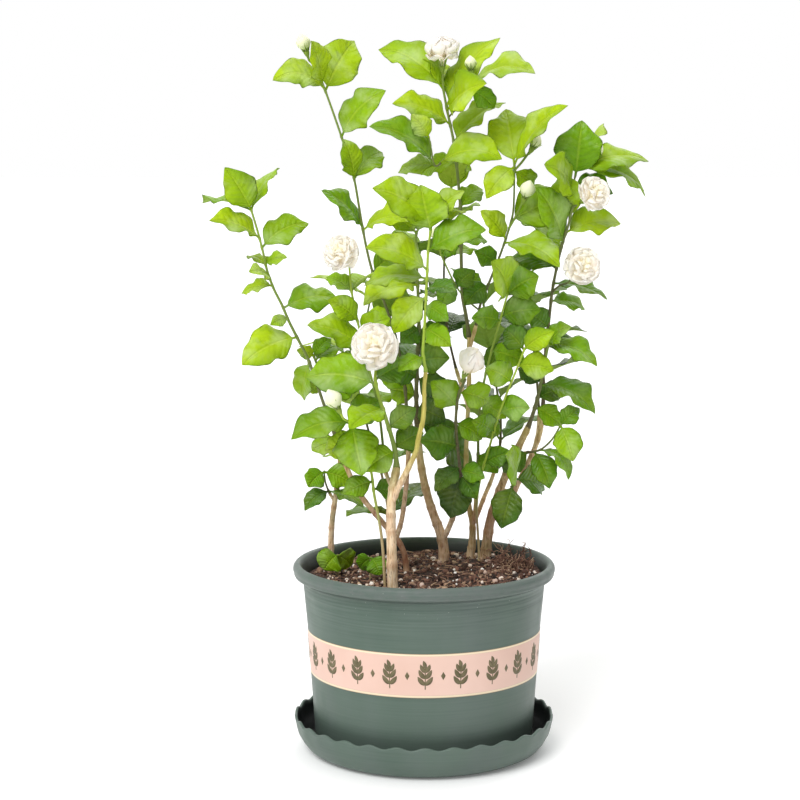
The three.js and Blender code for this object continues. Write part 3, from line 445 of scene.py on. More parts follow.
def bark_material():
    """Tan to brown bark, which is greener where the cane is young."""
    shader = Shader("bark")
    streaks = shader.noise(620, 6, Scale=(1.0, 1.0, 0.16))
    patches = shader.noise(70, 4)
    old = streaks.times_plus(0.6, patches * 0.4)
    old = old.ramp((0.3, (0.26, 0.13, 0.06)), (0.39, (0.58, 0.37, 0.2)), (0.5, (0.82, 0.6, 0.38)),
                   (0.68, (0.94, 0.8, 0.6)))
    fresh = streaks.ramp((0.3, (0.36, 0.3, 0.045)), (0.7, (0.62, 0.56, 0.12)))
    old = old.mix(shader.noise(38, 5).ramp((0.5, 0), (0.66, 0.65)), (0.34, 0.15, 0.075))
    moss = shader.noise(52, 4, Location=(0.3, 0.1, 0.2)).ramp((0.52, 0), (0.68, 0.5))
    old = old.mix(moss, (0.36, 0.34, 0.17))
    cracks = shader.noise(900, 3, Scale=(1.0, 1.0, 0.3))
    old = old.mix(cracks.ramp((0.34, 0.5), (0.44, 0)), (0.2, 0.1, 0.05))
    old = old.mix(shader.value("knot") * 0.42, (0.4, 0.19, 0.1))
    dark = shader.value("dark") * patches.ramp((0.3, 1), (0.65, 0.55))
    old = old.mix(dark, old.mix(1.0, (0.5, 0.34, 0.3), "MULTIPLY"))
    colour = old.mix(shader.value("young"), fresh)
    relief = streaks + cracks.times_plus(0.4, patches)
    return shader.finish((relief, 0.7, 0.8), Base_Color=colour, Roughness=0.78)


def stem_material():
    """Green stems, darker and greyer low down and yellow-green in the young tips."""
    shader = Shader("stem")
    colour = shader.value("tone").ramp((0.0, (0.36, 0.5, 0.05)), (0.35, (0.2, 0.3, 0.05)),
                                       (0.65, (0.14, 0.16, 0.055)), (1.0, (0.105, 0.078, 0.045)))
    flecks = shader.noise(500, 4)
    colour = colour.mix(shader.value("woody"), (0.5, 0.37, 0.21))
    colour = colour.mix(flecks.ramp((0.5, 0), (0.8, 0.5)), (0.3, 0.24, 0.11))
    return shader.finish((flecks, 0.25, 0.2), Base_Color=colour, Roughness=0.55, Specular_IOR_Level=0.25)


def leaf_material():
    """A blade with a light midrib, side veins that curve towards the tip, and a paler lower face."""
    shader = Shader("leaf")
    tone, along, side, under = map(shader.value, ("tone", "along", "side", "under"))
    width = abs(side)
    fresh = tone.ramp((0.0, (0.43, 0.61, 0.003)), (0.25, (0.29, 0.49, 0.002)), (0.5, (0.16, 0.35, 0.002)),
                      (0.75, (0.082, 0.207, 0.009)), (1.0, (0.058, 0.128, 0.024)))
    cloud = shader.noise(45, 3).ramp((0.42, 0), (0.72, 0.6))
    fresh = fresh.mix(cloud, fresh.mix(0.5, (0.3, 0.34, 0.008)))
    # Side veins: lines of equal (along - lean x width), at even steps from the foot to the tip.
    run = (along - width.math("POWER", VEIN_CURVE) * VEIN_LEAN) * VEINS
    wave = abs((run + shader.noise(110, 2) * 0.9).math("FRACT") - 0.5)
    vein = wave.range(0.09, 0.0) * width.range(1.0, 0.55)
    rib = width.range(0.1, 0.03)
    net = shader.cells("Distance", feature="DISTANCE_TO_EDGE").range(0.1, 0.0)
    lines = (vein * 0.55).most(rib).most(net * 0.12)
    pale = fresh.mix(0.4, (0.5, 0.6, 0.07))
    colour = fresh.mix(lines * tone.times_plus(-0.45, 0.6), pale)
    # Painted shade: one half of a blade is darker than the other, by its own measure, as if its fold shaded
    # it, and so are the blade's foot, a groove along the midrib and mottled patches of shadow.
    half = (((tone * 53.7).math("FRACT") - 0.5) * side).math("MULTIPLY", 1.5, clamp=True)
    foot = along.range(0.5, 0.08, 0.0, 0.4)
    groove = width.range(0.3, 0.06, 0.0, 0.22)
    shadow_mottle = shader.noise(150, 6).ramp((0.34, 0.3), (0.5, 0))
    shade = half.most(foot).most(groove.most(shadow_mottle))
    colour = colour.mix(shade * (1.0 - rib), colour.mix(1.0, (0.26, 0.42, 0.06), "MULTIPLY"))
    # Painted highlights: pale glossy patches, fainter on dark leaves.
    shine = shader.noise(60, 4, Location=(0.5, 0.2, 0.7)).ramp((0.5, 0), (0.7, 0.65))
    shine = shine * tone.range(0.3, 0.8, 1.0, 0.3)
    colour = colour.mix(shine, colour.mix(0.44, (0.7, 0.82, 0.45)))
    colour = colour.mix(width.range(0.93, 1.0, 0.0, 0.25), pale)
    colour = colour.mix(under, fresh.mix(0.4, (0.33, 0.42, 0.1)))
    relief = wave * 0.8 - rib * 0.6 + shader.noise(200, 5) * 1.1
    rough = tone.times_plus(-0.25, 0.36) + shader.noise(90, 3) * 0.3
    return shader.finish((relief, 0.8, 0.9), Base_Color=colour, Roughness=rough.mix(under, 0.7),
                         Specular_IOR_Level=0.22)


def petal_material():
    """Creamy white petals, yellower and pinker deep in the flower."""
    shader = Shader("petal")
    colour = shader.noise(70, 3).times_plus(0.25, shader.value("along"))
    colour = colour.ramp((0.1, (0.84, 0.74, 0.4)), (0.4, (0.9, 0.83, 0.64)), (0.72, (0.93, 0.88, 0.79)),
                         (1.0, (0.94, 0.91, 0.87)))
    colour = colour.mix(shader.value("deep") * 0.8, (0.99, 0.93, 0.66))
    colour = colour.mix(shader.noise(120, 3).ramp((0.48, 0), (0.7, 0.7)), (0.96, 0.84, 0.74))
    # The faint warm emission is painted light: the petals glow a little, which lifts their shadows.
    return shader.finish((shader.noise(520, 4), 0.25, 0.25), Base_Color=colour, Roughness=0.6,
                         Subsurface_Weight=0.3, Subsurface_Radius=(1.0, 0.9, 0.7), Subsurface_Scale=0.004,
                         Emission_Color=(1.0, 0.9, 0.7), Emission_Strength=0.07)


def bud_material():
    shader = Shader("bud")
    colour = shader.value("along").ramp((0.0, (0.3, 0.42, 0.06)), (0.3, (0.62, 0.72, 0.24)),
                                        (0.7, (0.86, 0.9, 0.5)), (1.0, (0.93, 0.93, 0.62)))
    colour = colour.mix(shader.value("tone") * 0.6, (0.95, 0.94, 0.78))
    return shader.finish((shader.noise(400, 4), 0.25, 0.2), Base_Color=colour, Roughness=0.5,
                         Subsurface_Weight=0.15, Subsurface_Radius=(0.8, 0.8, 0.4), Subsurface_Scale=0.003)


# ---- the plant's lines, blooms and buds, as in the frame ----

# For each line: its name, its cane and shoot, the line that it forks from, how many of its points are wood,
# its first and last radius, and its points, as x, z and depth in the front view. Then come its leaves: x and
# z of the base and of the tip, as they are seen, the seen width, how far the tip reaches back from the base,
# and how much the blade is arched up. A line at the back has pairs of leaves instead: how many, and for one
# line how they are turned.
LINE_TABLE = [
    ("front", "front", "left_front", None, 6, 4.1, 1.2,
     [(-24, 132, -60), (-24.5, 150, -60), (-25, 170, -60), (-25, 187, -59), (-23, 205, -57),
      (-21, 217, -56), (-22, 229, -57), (-25, 241, -59), (-29, 254, -62), (-34, 270, -66), (-37, 284, -69)],
     [(-34, 280, -90, 285, 23, 6, 8), (-30, 262, -57, 246, 14, -10, 2), (-26, 246, -6, 262, 13, 6, 2),
      (-36, 284, -12, 296, 15, 8, 3), (-22, 229, -45, 213, 16, -8, 4), (-22, 231, 0, 243, 14, -10, 4)]),
    ("front_right", "front", "centre", "front", 10, 2.4, 1.2,
     [(-25, 189, -60), (-20, 200, -61), (-15, 210, -62), (-10, 220, -63), (-6, 229, -64), (-4, 240, -65),
      (-1, 252, -66), (0, 265, -66), (0, 278, -66), (1, 290, -65), (-1, 304, -64), (0, 320, -62),
      (1, 340, -60), (2, 362, -57), (3, 383, -54), (6, 406, -50)],
     [(6, 406, -39, 428, 18, -16, 5), (6, 406, 30, 426, 12, 8, 4), (6, 405, 31, 410, 7, -14, 3),
      (3, 396, -3, 430, 24, 6, 0), (3, 380, 46, 398, 15, -10, 4), (2, 366, -44, 384, 16, -14, 6),
      (1, 360, -46, 356, 10, 10, 6), (1, 352, 24, 350, 8, -16, 3), (0, 322, 20, 309, 13, -14, 2),
      (-1, 300, -20, 290, 10, -10, 3), (0, 340, 18, 328, 12, -12, 3), (0, 346, -23, 319, 16, -8, 3)]),
    ("left_low", None, "left_low", None, 0, 1.7, 1.1,
     [(-30, 132, -52), (-31, 148, -52), (-32.5, 164, -52), (-35, 180, -53), (-38, 196, -54),
      (-40, 212, -56), (-44, 226, -58), (-49, 239, -60), (-55, 250, -62)],
     [(-55, 251, -101, 238, 17, -12, 8), (-54, 250, -47, 210, 24, -16, 0), (-55, 250, -33, 268, 17, -22, 4),
      (-46, 233, -76, 229, 16, 8, 5), (-39, 206, -62, 196, 12, -8, 3), (-38, 200, -18, 192, 11, 8, 3)]),
    ("left", "left", "left_arm", None, 9, 2.3, 1.1,
     [(-13, 137, -12), (-15, 150, -10), (-21, 162, -6), (-30, 172, -2), (-38, 182, 2), (-46, 192, 5),
      (-54, 206, 7), (-61, 222, 8), (-67, 239, 7), (-74, 259, 4), (-81, 280, 0), (-88, 300, -5),
      (-95, 314, -8), (-102, 328, -10), (-107, 340, -12), (-113, 352, -14), (-118, 366, -15),
      (-121, 380, -17), (-125, 396, -19), (-130, 413, -22)],
     [(-130, 413, -149, 443, 18, -12, 3), (-130, 412, -166, 418, 7, 12, 2),
      (-129, 411, -109, 444, 9, 14, 3), (-124, 390, -161, 404, 10, -14, 5),
      (-122, 383, -86, 402, 16, 12, 7), (-119, 371, -103, 376, 7, -8, 2), (-119, 370, -132, 377, 6, 8, 2),
      (-117, 361, -131, 366, 6, -10, 2), (-114, 355, -138, 349, 6, 10, 2), (-106, 338, -62, 344, 15, 14, 8),
      (-103, 330, -116, 325, 7, -8, 2), (-96, 316, -138, 295, 20, -14, 5), (-86, 296, -92, 267, 12, 12, 4)]),
    ("top_left", "left", "top_left", "left", 6, 1.9, 1,
     [(-21, 162, -6), (-17, 176, 4), (-15, 190, 11), (-13, 210, 19), (-12, 233, 26), (-13, 259, 31),
      (-16, 290, 35), (-22, 318, 36), (-30, 342, 34), (-38, 362, 30), (-43, 381, 26), (-47, 402, 22),
      (-52, 432, 17), (-57, 450, 14), (-63, 469, 10), (-74, 500, 4), (-83, 520, 0)],
     [(-75, 501, -113, 508, 14, -14, 13), (-76, 504, -84, 536, 12, 14, 2), (-73, 499, -52, 536, 24, -6, 5),
      (-61, 466, -29, 500, 17, -10, 7), (-52, 434, -60, 464, 12, -14, 2), (-52, 434, -31, 455, 16, -10, 5),
      (-46, 397, -77, 426, 11, -14, 5), (-46, 396, -8, 403, 10, -16, 10), (-39, 364, -16, 380, 15, 16, 5),
      (-24, 322, -44, 334, 13, 16, 4), (-14, 276, -34, 288, 12, 14, 4)]),
    ("far_left", "far_left", "far_left", None, 7, 2.5, 1.1,
     [(-71, 142, 35), (-71, 160, 35), (-70, 176, 34), (-68, 190, 33), (-66, 203, 31), (-64, 215, 29),
      (-64, 228, 27), (-66, 243, 24), (-70, 259, 20), (-74, 275, 16), (-79, 290, 12), (-84, 303, 9)],
     [(-84, 303, -70, 315, 9, 10, 3), (-83, 301, -96, 306, 8, -14, 2), (-82, 298, -62, 309, 10, 14, 3),
      (-75, 277, -92, 280, 11, -12, 3), (-73, 271, -50, 280, 14, 12, 4), (-65, 236, -86, 229, 12, 10, 3)]),
    ("far_left_low", "far_left", "far_left_low", "far_left", 2, 1.2, 0.9,
     [(-68, 190, 33), (-72, 197, 30), (-75, 205, 26), (-76, 214, 22)],
     [(-72, 196, -91, 183, 10, -10, 5), (-76, 213, -88, 201, 13, 10, 3), (-76, 214, -54, 203, 14, -12, 4),
      (-72, 196, -46, 186, 8, -8, 3)]),
    ("middle", "middle", "middle", None, 8, 4.4, 1.2,
     [(15, 138, 30), (15, 154, 30), (12.5, 166, 31), (8, 178, 32), (4, 190, 33), (0, 205, 35),
      (-3, 222, 37), (-5, 245, 38), (-6, 272, 38), (-5, 300, 36), (-4, 328, 32), (-5, 354, 28),
      (-6, 378, 24), (-6, 396, 20)],
     [(-6, 396, -28, 408, 13, 14, 4), (-5, 394, 14, 418, 15, 12, 3), (-5, 356, -46, 340, 15, -18, 6),
      (-4, 322, -18, 312, 14, -16, 2), (-5, 305, 18, 324, 16, 14, 3), (-5, 296, 19, 300, 17, -10, 3),
      (-5, 286, -28, 294, 16, -12, 3), (-5, 284, 17, 270, 16, 12, 3), (-5, 270, -26, 276, 17, -12, 3),
      (-5, 262, 16, 252, 17, -12, 3), (-5, 254, 37, 212, 18, 12, 5)]),
    ("middle_right", "middle", "ball", "middle", 5, 2.3, 1.1,
     [(15, 160, 30), (18, 168, 27), (22, 178, 24), (26, 190, 20), (28, 203, 15), (27, 218, 10),
      (25, 236, 4), (24, 254, -4), (26, 272, -14), (31, 284, -24)],
     [(25, 233, -3, 237, 20, -14, 3), (26, 216, 8, 198, 12, -12, 2), (27, 210, 40, 192, 12, 12, 2),
      (27, 211, 20, 177, 20, -10, 1), (27, 214, 46, 208, 12, 10, 3), (24, 250, 44, 238, 13, 14, 3),
      (24, 262, 5, 282, 17, -8, 3), (27, 274, 50, 266, 16, 12, 4)]),
    ("right", "right", "top", None, 9, 3.3, 1,
     [(35, 141, 49), (36.5, 156, 49), (37, 172, 49), (34, 189, 48), (32, 207, 47), (32, 232, 45),
      (33, 258, 42), (34, 290, 38), (33.6, 317, 34.8), (31.4, 332, 33), (28.5, 348, 32), (27.5, 380, 30),
      (27, 410, 28), (25, 434, 26), (22, 460, 24), (17, 484, 22), (14, 500, 20)],
     [(14, 500, -35, 532, 18, -12, 9), (14, 499, 2, 526, 12, 16, 2), (16, 488, 55, 540, 16, 14, 6),
      (17, 485, 46, 505, 18, -14, 5), (20, 474, -24, 490, 13, -14, 8), (22, 462, 60, 492, 11, 14, 5),
      (24, 446, -4, 438, 10, 14, 4), (27, 414, 44, 428, 12, 16, 4), (28, 386, 48, 388, 8, 12, 4),
      (28, 360, 43, 352, 9, 12, 4), (27, 392, 12, 376, 12, 14, 3)]),
    ("top_fork", None, "top", "right", 0, 1, 0.9,
     [(23, 452, 24), (15, 449, 14), (8, 444, 6), (5, 456, 2), (3, 466, 0)],
     [(7, 446, -41, 474, 14, -12, 9), (9, 444, -21, 440, 10, 12, 3), (12, 447, 58, 450, 16, -16, 11),
      (3, 465, -10, 482, 12, 8, 2)]),
    ("top_side", None, "top", "right", 0, 1, 0.9,
     [(18, 480, 22), (27, 490, 14), (34, 500, 8)],
     [(35, 504, 82, 513, 11, -8, 12), (34, 500, 52, 486, 12, 12, 4)]),
    ("right_top", "right", "right_top", "right", 2, 1.5, 1,
     [(34.6, 305, 35), (39, 325, 29), (42, 340, 24), (49, 358, 18), (55, 373, 14), (61, 390, 10),
      (66, 408, 6), (67, 428, 3), (67, 447, 0)],
     [(67, 446, 60, 488, 24, 6, 2), (68, 446, 105, 490, 11, -14, 5), (67, 443, 46, 420, 15, -14, 3),
      (67, 440, 82, 428, 12, -14, 3), (66, 403, 108, 420, 24, -8, 6), (60, 386, 102, 369, 15, -12, 8),
      (61, 390, 42, 411, 12, -8, 3), (54, 370, 38, 380, 12, -14, 4), (53, 368, 76, 356, 16, -10, 4),
      (47, 354, 30, 340, 14, -12, 4)]),
    ("nine", None, "right_top", "right_top", 0, 1, 0.8,
     [(41, 336, 25), (32, 344, 14), (24, 354, 6), (17, 368, 0), (12, 379, -4)],
     [(22, 356, 12, 338, 12, -10, 3), (25, 353, 38, 366, 13, -10, 3)]),
    ("right_inner", "right", "right_inner", "right", 4, 1.9, 1,
     [(37, 170, 49), (39, 184, 46), (40, 200, 44), (41, 220, 41), (41, 241, 37), (42, 262, 31),
      (46, 286, 23), (52, 310, 14), (58, 332, 5), (63, 350, -2)],
     [(63, 350, 86, 362, 20, -8, 4), (62, 348, 52, 372, 16, -14, 3), (58, 332, 88, 336, 18, -16, 5),
      (57, 328, 36, 330, 14, -14, 4), (51, 306, 76, 296, 17, -14, 4), (47, 290, 62, 310, 13, 12, 3),
      (43, 266, 62, 254, 15, -14, 4), (41, 240, 58, 250, 13, 12, 3), (41, 226, 56, 212, 13, -14, 3)]),
    ("right_thin", None, "right_thin", None, 0, 1.5, 1,
     [(42, 137, 34), (42, 152, 35), (41, 168, 34), (40, 188, 30), (43, 209, 22), (49, 230, 12),
      (55, 252, 0), (62, 272, -10), (70, 292, -18), (76, 308, -24)],
     [(76, 308, 98, 320, 13, -10, 4), (76, 307, 60, 322, 15, -12, 3), (71, 294, 98, 290, 15, -12, 4),
      (66, 282, 46, 292, 16, -10, 4), (57, 258, 80, 262, 15, -10, 4), (53, 244, 36, 252, 14, -12, 3),
      (46, 220, 66, 228, 13, -8, 3)]),
    ("far_right", "far_right", "right_low", None, 8, 4.5, 1.2,
     [(47, 141, 49), (48, 156, 49), (50, 172, 48), (54, 188, 45), (60, 205, 39), (66, 220, 33),
      (73, 235, 27), (79, 248, 21), (84, 263, 15), (88, 280, 10), (91, 297, 5), (94, 312, 0)],
     [(93, 311, 131, 294, 13, -10, 8), (93, 310, 110, 324, 10, 12, 4), (88, 280, 130, 258, 12, -12, 9),
      (86, 270, 108, 276, 12, 12, 3), (84, 262, 104, 248, 12, -10, 3)]),
    ("low_twig", "far_right", "low_twig", "far_right", 2, 1.3, 0.9,
     [(69, 226, 30), (78, 228, 18), (88, 230, 8), (97, 238, 0), (104, 250, -6)],
     [(104, 249, 113, 221, 16, -8, 3), (88, 230, 111, 207, 8, -10, 12), (84, 229, 96, 200, 14, -12, 3),
      (104, 249, 118, 262, 11, 10, 3), (76, 228, 60, 212, 13, -10, 3)]),
    ("low_leaf", "far_right", "low_leaf", "far_right", 2, 1.2, 0.9,
     [(58, 199, 41), (64, 199, 30), (68, 203, 20), (70, 208, 12)],
     [(68, 202, 59, 169, 18, -8, 1), (70, 208, 92, 200, 15, -10, 4), (70, 208, 62, 226, 12, -8, 3)]),
    ("right_arm", "far_right", "right_arm", "far_right", 8, 2.4, 1.1,
     [(51, 176, 47), (60, 183, 50), (66, 192, 51), (71, 203, 51), (77, 216, 50), (83, 229, 48),
      (88, 244, 45), (90, 264, 40), (90, 288, 34), (92, 310, 29), (94, 330, 23), (96, 350, 17),
      (99, 367, 11), (103, 385, 5), (108, 401, 0), (111, 413, -4)],
     [(105, 394, 147, 401, 14, 12, 7), (109, 405, 102, 440, 17, 12, 2), (103, 388, 84, 428, 18, -14, 4),
      (102, 383, 74, 408, 17, 14, 4), (99, 368, 62, 375, 14, -10, 5), (97, 356, 138, 345, 8, -12, 3),
      (95, 342, 122, 338, 8, 12, 3), (93, 322, 76, 334, 14, -10, 4), (92, 308, 120, 312, 12, 14, 4),
      (90, 282, 70, 292, 13, 14, 4)]),
    ("arm_low", None, "right_arm", "right_arm", 0, 1.1, 1,
     [(96, 350, 17), (102, 355, 8), (109, 358, 0)], []),
    ("arm_top", None, "right_arm", "right_arm", 0, 1.1, 0.9,
     [(108, 402, 0), (109, 416, 6), (111, 429, 10), (114, 441, 12)],
     [(112, 436, 117, 478, 26, 8, 2), (114, 440, 168, 449, 14, -12, 9), (118, 446, 130, 472, 10, 12, 3),
      (111, 430, 142, 424, 12, 12, 5), (116, 444, 168, 423, 11, 8, 10), (110, 425, 92, 446, 13, -8, 3)]),
    ("bloom_stem", "front", "left_centre", "front", 2, 1.5, 1,
     [(-23.5, 199, -58), (-29, 213, -49), (-31, 231, -46), (-33, 250, -44), (-36, 269, -43),
      (-41, 289, -42), (-46, 306, -42), (-49, 322, -42), (-52, 337, -42), (-55, 352, -43)],
     [(-46, 308, -88, 326, 16, -12, 4), (-51, 328, -73, 344, 13, 10, 4), (-48, 316, -26, 330, 14, -10, 4),
      (-42, 292, -66, 296, 13, 12, 4), (-54, 350, -74, 362, 9, 10, 3), (-54, 350, -40, 362, 9, 10, 3)]),
    ("low_front_leaf", None, "ground_front", None, 0, 1, 0.9,
     [(-41, 136, -31), (-41, 143, -32), (-40, 147, -35)],
     [(-40, 147, -34, 133, 13, -6, 3), (-40, 147, -49, 138, 11, -6, 3)]),
    ("low_left_leaf", None, "ground", None, 0, 1.1, 0.9,
     [(-66, 138, -4), (-66, 145, -6), (-66, 149, -10)],
     [(-66, 149, -76, 137, 17, -6, 3), (-66, 149, -56, 140, 15, -6, 3)]),
    ("back_right", "right", "back_right", "right", 5, 1.9, 1,
     [(37, 172, 49), (41, 181, 54), (46, 194, 59), (52, 209, 64), (57, 228, 69), (58, 252, 74),
      (54, 282, 79), (49, 312, 84), (44, 344, 84)], [], 4),
    ("back_middle", "middle", "back_middle", "middle", 3, 1.5, 1,
     [(-3.5, 226, 37), (-9, 246, 47), (-14, 266, 57), (-20, 292, 67), (-22, 316, 75), (-20, 344, 80),
      (-16, 370, 80)], [], 5),
    ("back_left", None, "back_left", None, 0, 1.9, 1,
     [(-26, 138, 52), (-26, 158, 54), (-27, 180, 57), (-32, 210, 62), (-42, 244, 67), (-50, 280, 72),
      (-46, 316, 72), (-40, 348, 70)], [], 5),
    ("back_far_right", "far_right", "back_far_right", "right_arm", 3, 1.6, 1,
     [(83, 229, 48), (86, 242, 57), (87, 258, 65), (85, 284, 72), (82, 312, 76), (80, 340, 76),
      (80, 366, 72)], [], 4, 1.2),
    ("back_top", "right", "back_top", "right", 3, 1.5, 1,
     [(33, 262, 42), (29, 276, 51), (24, 292, 60), (18, 318, 70), (15, 346, 76), (15, 376, 76),
      (18, 404, 70), (20, 428, 62)], [], 5),
]

BLOOM_TABLE = [  # name, line, kind, size, place in the front view, and the way that it faces
    ("bloom_left_front", "front", "open", 36, (-38, 310, -84), (-0.1, -0.92, 0.38)),
    ("bloom_left", "bloom_stem", "open", 29, (-63, 380, -58), (-0.25, -0.86, 0.45)),
    ("bloom_right", "right_arm", "open", 28, (127, 424, -16), (0.45, -0.8, 0.4)),
    ("bloom_far_right", "arm_low", "open", 31, (119, 370, -14), (0.3, -0.9, 0.3)),
    ("bloom_top", "right", "dome", 27, (12.5, 531, 16), (-0.05, -0.2, 0.98)),
    ("bloom_ball", "middle_right", "ball", 22, (36, 299, -36), (0.35, -0.45, 0.82)),
]
BUD_TABLE = [  # the same, and for some the place on the line where their own stalk starts
    ("bud_left", "left_low", "bud", 13, (-69, 269, -84), (-0.45, -0.1, 0.88)),
    ("bud_right_top", "right_top", "bud", 12, (77, 427, -6), (0.25, -0.4, 0.88), (63, 398)),
    ("bud_top_left", "top_left", "bud", 11, (-90, 535, -4), (-0.3, -0.2, 0.93)),
    ("bud_top", "top_side", "bud", 9, (34, 520, 4), (-0.1, -0.1, 0.98)),
    ("bud_centre", "nine", "bud", 9, (9, 394, -8), (-0.2, -0.3, 0.92)),
    ("bud_right", "arm_top", "bud", 9, (129, 456, 12), (0.6, -0.2, 0.77)),
    ("bud_fork", "right_top", "bud", 9, (83, 462, 6), (0.5, 0.1, 0.85), (67, 440)),
]

# ---- the lines and flowers in space, by the frame's own rule ----


class Line:
    """A stem, with its points in space, the wood at its foot and the leaves on it."""

    def __init__(self, name, cane, shoot, source, wood, r0, r1, places, leaves, pairs=0, phase=0.4):
        self.name, self.cane, self.shoot, self.forked = name, f"cane_{cane}", f"shoot_{shoot}", bool(source)
        self.wood, self.r0, self.r1, self.pairs, self.phase = wood, r0, r1, pairs, phase
        self.drawn, self.made = leaves, []  # the leaves in the table, and all that are placed
        self.curve = [sight(place) for place in places]
        self.wood_to = self.wood - 1
        if self.forked:
            parent = BY_NAME[source].curve
            self.curve[0] = axis_at(parent, nearest_on(parent, *places[0][:2]))
        else:
            x, y = self.curve[0][:2]
            z = soil_height(x, y)
            self.curve[:1] = [vector(x, y, z - ROOT_DEPTH), vector(x, y, z)]
            self.wood_to += 1 if self.wood else 0

    def settle(self):
        """Notes where the line ends and where it turns green, once its points are all there."""
        self.last = len(self.curve) - 1
        self.green_from = 0
        if self.wood:
            step = self.curve[self.wood_to + 1] - self.curve[self.wood_to]
            self.green_from = self.wood_to + 1.2 * GAP / math.sqrt(step @ step)

    def radius(self, t):
        return self.r0 + (self.r1 - self.r0) * t / self.last


class Flower:
    """A bloom or a bud, on the end of its line or on a stalk (pedicel) of its own."""

    def __init__(self, name, line, kind, size, at, facing, side=None):
        self.name, self.line, self.kind, self.size = name, BY_NAME[line], kind, size
        self.centre, self.axis = sight(at), unit(vector(*facing))
        self.back = 0.62 * size if kind in ("ball", "bud") else 0.44 * size + 2
        self.end = self.centre - self.axis * self.back
        self.pedicel, curve = None, self.line.curve
        if side:
            start = axis_at(curve, nearest_on(curve, *side))
            self.pedicel = [start, (start + self.end) / 2 - self.axis * 3, self.end]
        else:
            curve += [self.end - self.axis * 8, self.end]


def ball_round(points):
    centre = points.mean(0)
    return centre, np.sqrt(((points - centre) ** 2).sum(1)).max()


class Room:
    """What is taken up already, and how far a new leaf is from it."""

    def __init__(self):
        self.groups = []

    def occupy(self, points, owner, clear):
        self.groups.append((*ball_round(points), points, owner, clear))

    def room(self, points, owner):
        centre, reach = ball_round(points)
        least = 20.0
        for other_centre, other_reach, others, other_owner, clear in self.groups:
            if other_owner == owner:
                if clear != LEAF_CLEAR:
                    continue
                clear = TWIN_CLEAR
            gap = centre - other_centre
            if math.sqrt(gap @ gap) - reach - other_reach - clear > least:
                continue
            step = points[:, None] - others[None]
            least = min(least, math.sqrt((step * step).sum(-1).min()) - clear)
        return least

    def pick(self, candidates, owner):
        """The first leaf with enough room, or else the one with the most, and the room that it has."""
        best = None
        for leaf in candidates:
            free = self.room(leaf.samples(), owner)
            if best is None or free > best[1]:
                best = (leaf, free)
            if free >= 0:
                break
        self.occupy(best[0].samples(), owner, LEAF_CLEAR)
        return best


def outline(t):
    """A blade's breadth along its length, from 0 to 1."""
    u = np.maximum(0, (t - 0.09) / 0.91)
    return np.maximum(0, np.sin(np.pi * u ** 0.82)) ** 0.9


SAMPLE_T = vector(0.2, 0.32, 0.44, 0.56, 0.68, 0.8, 0.9, 1)
SAMPLE_S = vector(-0.9, -0.45, 0, 0.45, 0.9)


def stretch(base, tip):
    """The length from base to tip, and the direction."""
    chord = tip - base
    length = math.sqrt(chord @ chord)
    return length, chord / length


class Leaf:
    """A blade that is arched up in the middle. Its t runs from base to tip, its s across from -1 to 1."""

    def __init__(self, base, tip, width, up, lift, phase):
        self.base, self.tip, self.width, self.phase = base, tip, width, phase
        self.length, along = stretch(base, tip)
        self.normal = across(up, along)
        self.bend = base + (tip - base) / 2 + self.normal * LEAF_ARCH * self.length
        if lift > 0 and abs(along[2]) < 0.95:
            self.bend = self.bend + across(UP, along) * lift

    def frame(self, t):
        """The midrib's points at t (one column), with the blade's side and normal there."""
        q = 1 - t
        middle = q * q * self.base + 2 * q * t * self.bend + t * t * self.tip
        along = unit(2 * q * (self.bend - self.base) + 2 * t * (self.tip - self.bend))
        normal = across(np.broadcast_to(self.normal, along.shape), along)
        return middle, np.cross(along, normal), normal

    def half(self, t, power=1):
        """The half width of the blade; the lower the power, the rounder the blade."""
        return np.maximum(self.width / 2 * outline(t) ** power, 0.9 * np.minimum(1, (1 - t) * 8))

    def wave(self, t, s):
        shift = np.where(s > 0, 1.3, 0)
        return LEAF_WAVE * self.width * s * s * np.sin(14 * t + self.phase + shift) * outline(t)

    def samples(self):
        """Points on the blade, to measure its distance from other things."""
        t, s = np.meshgrid(SAMPLE_T, SAMPLE_S, indexing="ij")
        middle, side, normal = self.frame(t[..., None])
        half = self.half(t)
        rise = LEAF_FOLD * np.abs(s) * half + self.wave(t, s)
        return (middle + side * (s * half)[..., None] + normal * rise[..., None]).reshape(-1, 3)


REACHES = [0, -5, 5, -10, 10, -15, 15, -21, 21, -28, 28, 35, -35]
TURNS = [0, 0.35, -0.35, 0.7, -0.7, 1.1, -1.1, 1.5, -1.5]
CLIMBS = [0, 0.35, -0.4]


def seen_leaf(base, tip, seen, lift, phase):
    """A leaf that is tilted so that the front view shows it with the breadth `seen`."""
    length, along = stretch(base, tip)
    width = max(LEAF_BREADTH * seen, min(LEAF_RATIO * length, LEAF_WIDEST))
    facing = across(vector(*EYE) - base, along)
    tilt = math.acos(min(1, LEAF_BREADTH * seen / width))
    turn = np.cross(along, facing)
    high = 1 if turn[2] >= 0 else -1
    up = facing * math.cos(tilt) + turn * high * math.sin(tilt)
    return Leaf(base, tip, width, up, lift, phase)


def headed_leaf(base, length, angle, climb, phase):
    """A leaf that points to an angle round the stem and climbs."""
    way = unit(vector(math.cos(angle), math.sin(angle), climb))
    up = vector(0.2 * math.sin(angle), 0, 1)
    return Leaf(base, base + way * length, LEAF_RATIO * length, up, 2, phase)


def place_drawn_leaves(space):
    phase = 0.0
    for line in LINES:
        for bx, bz, tx, tz, seen, reach, lift in line.drawn:
            phase += 2.1
            t = nearest_on(line.curve, bx, bz, line.green_from + 0.12, line.last - 0.12)
            base = axis_at(line.curve, t)
            candidates = (seen_leaf(base, sight((tx, tz, base[1] + reach + more)), seen, lift, phase)
                          for more in REACHES)
            line.made.append((t, space.pick(candidates, line.shoot)[0]))


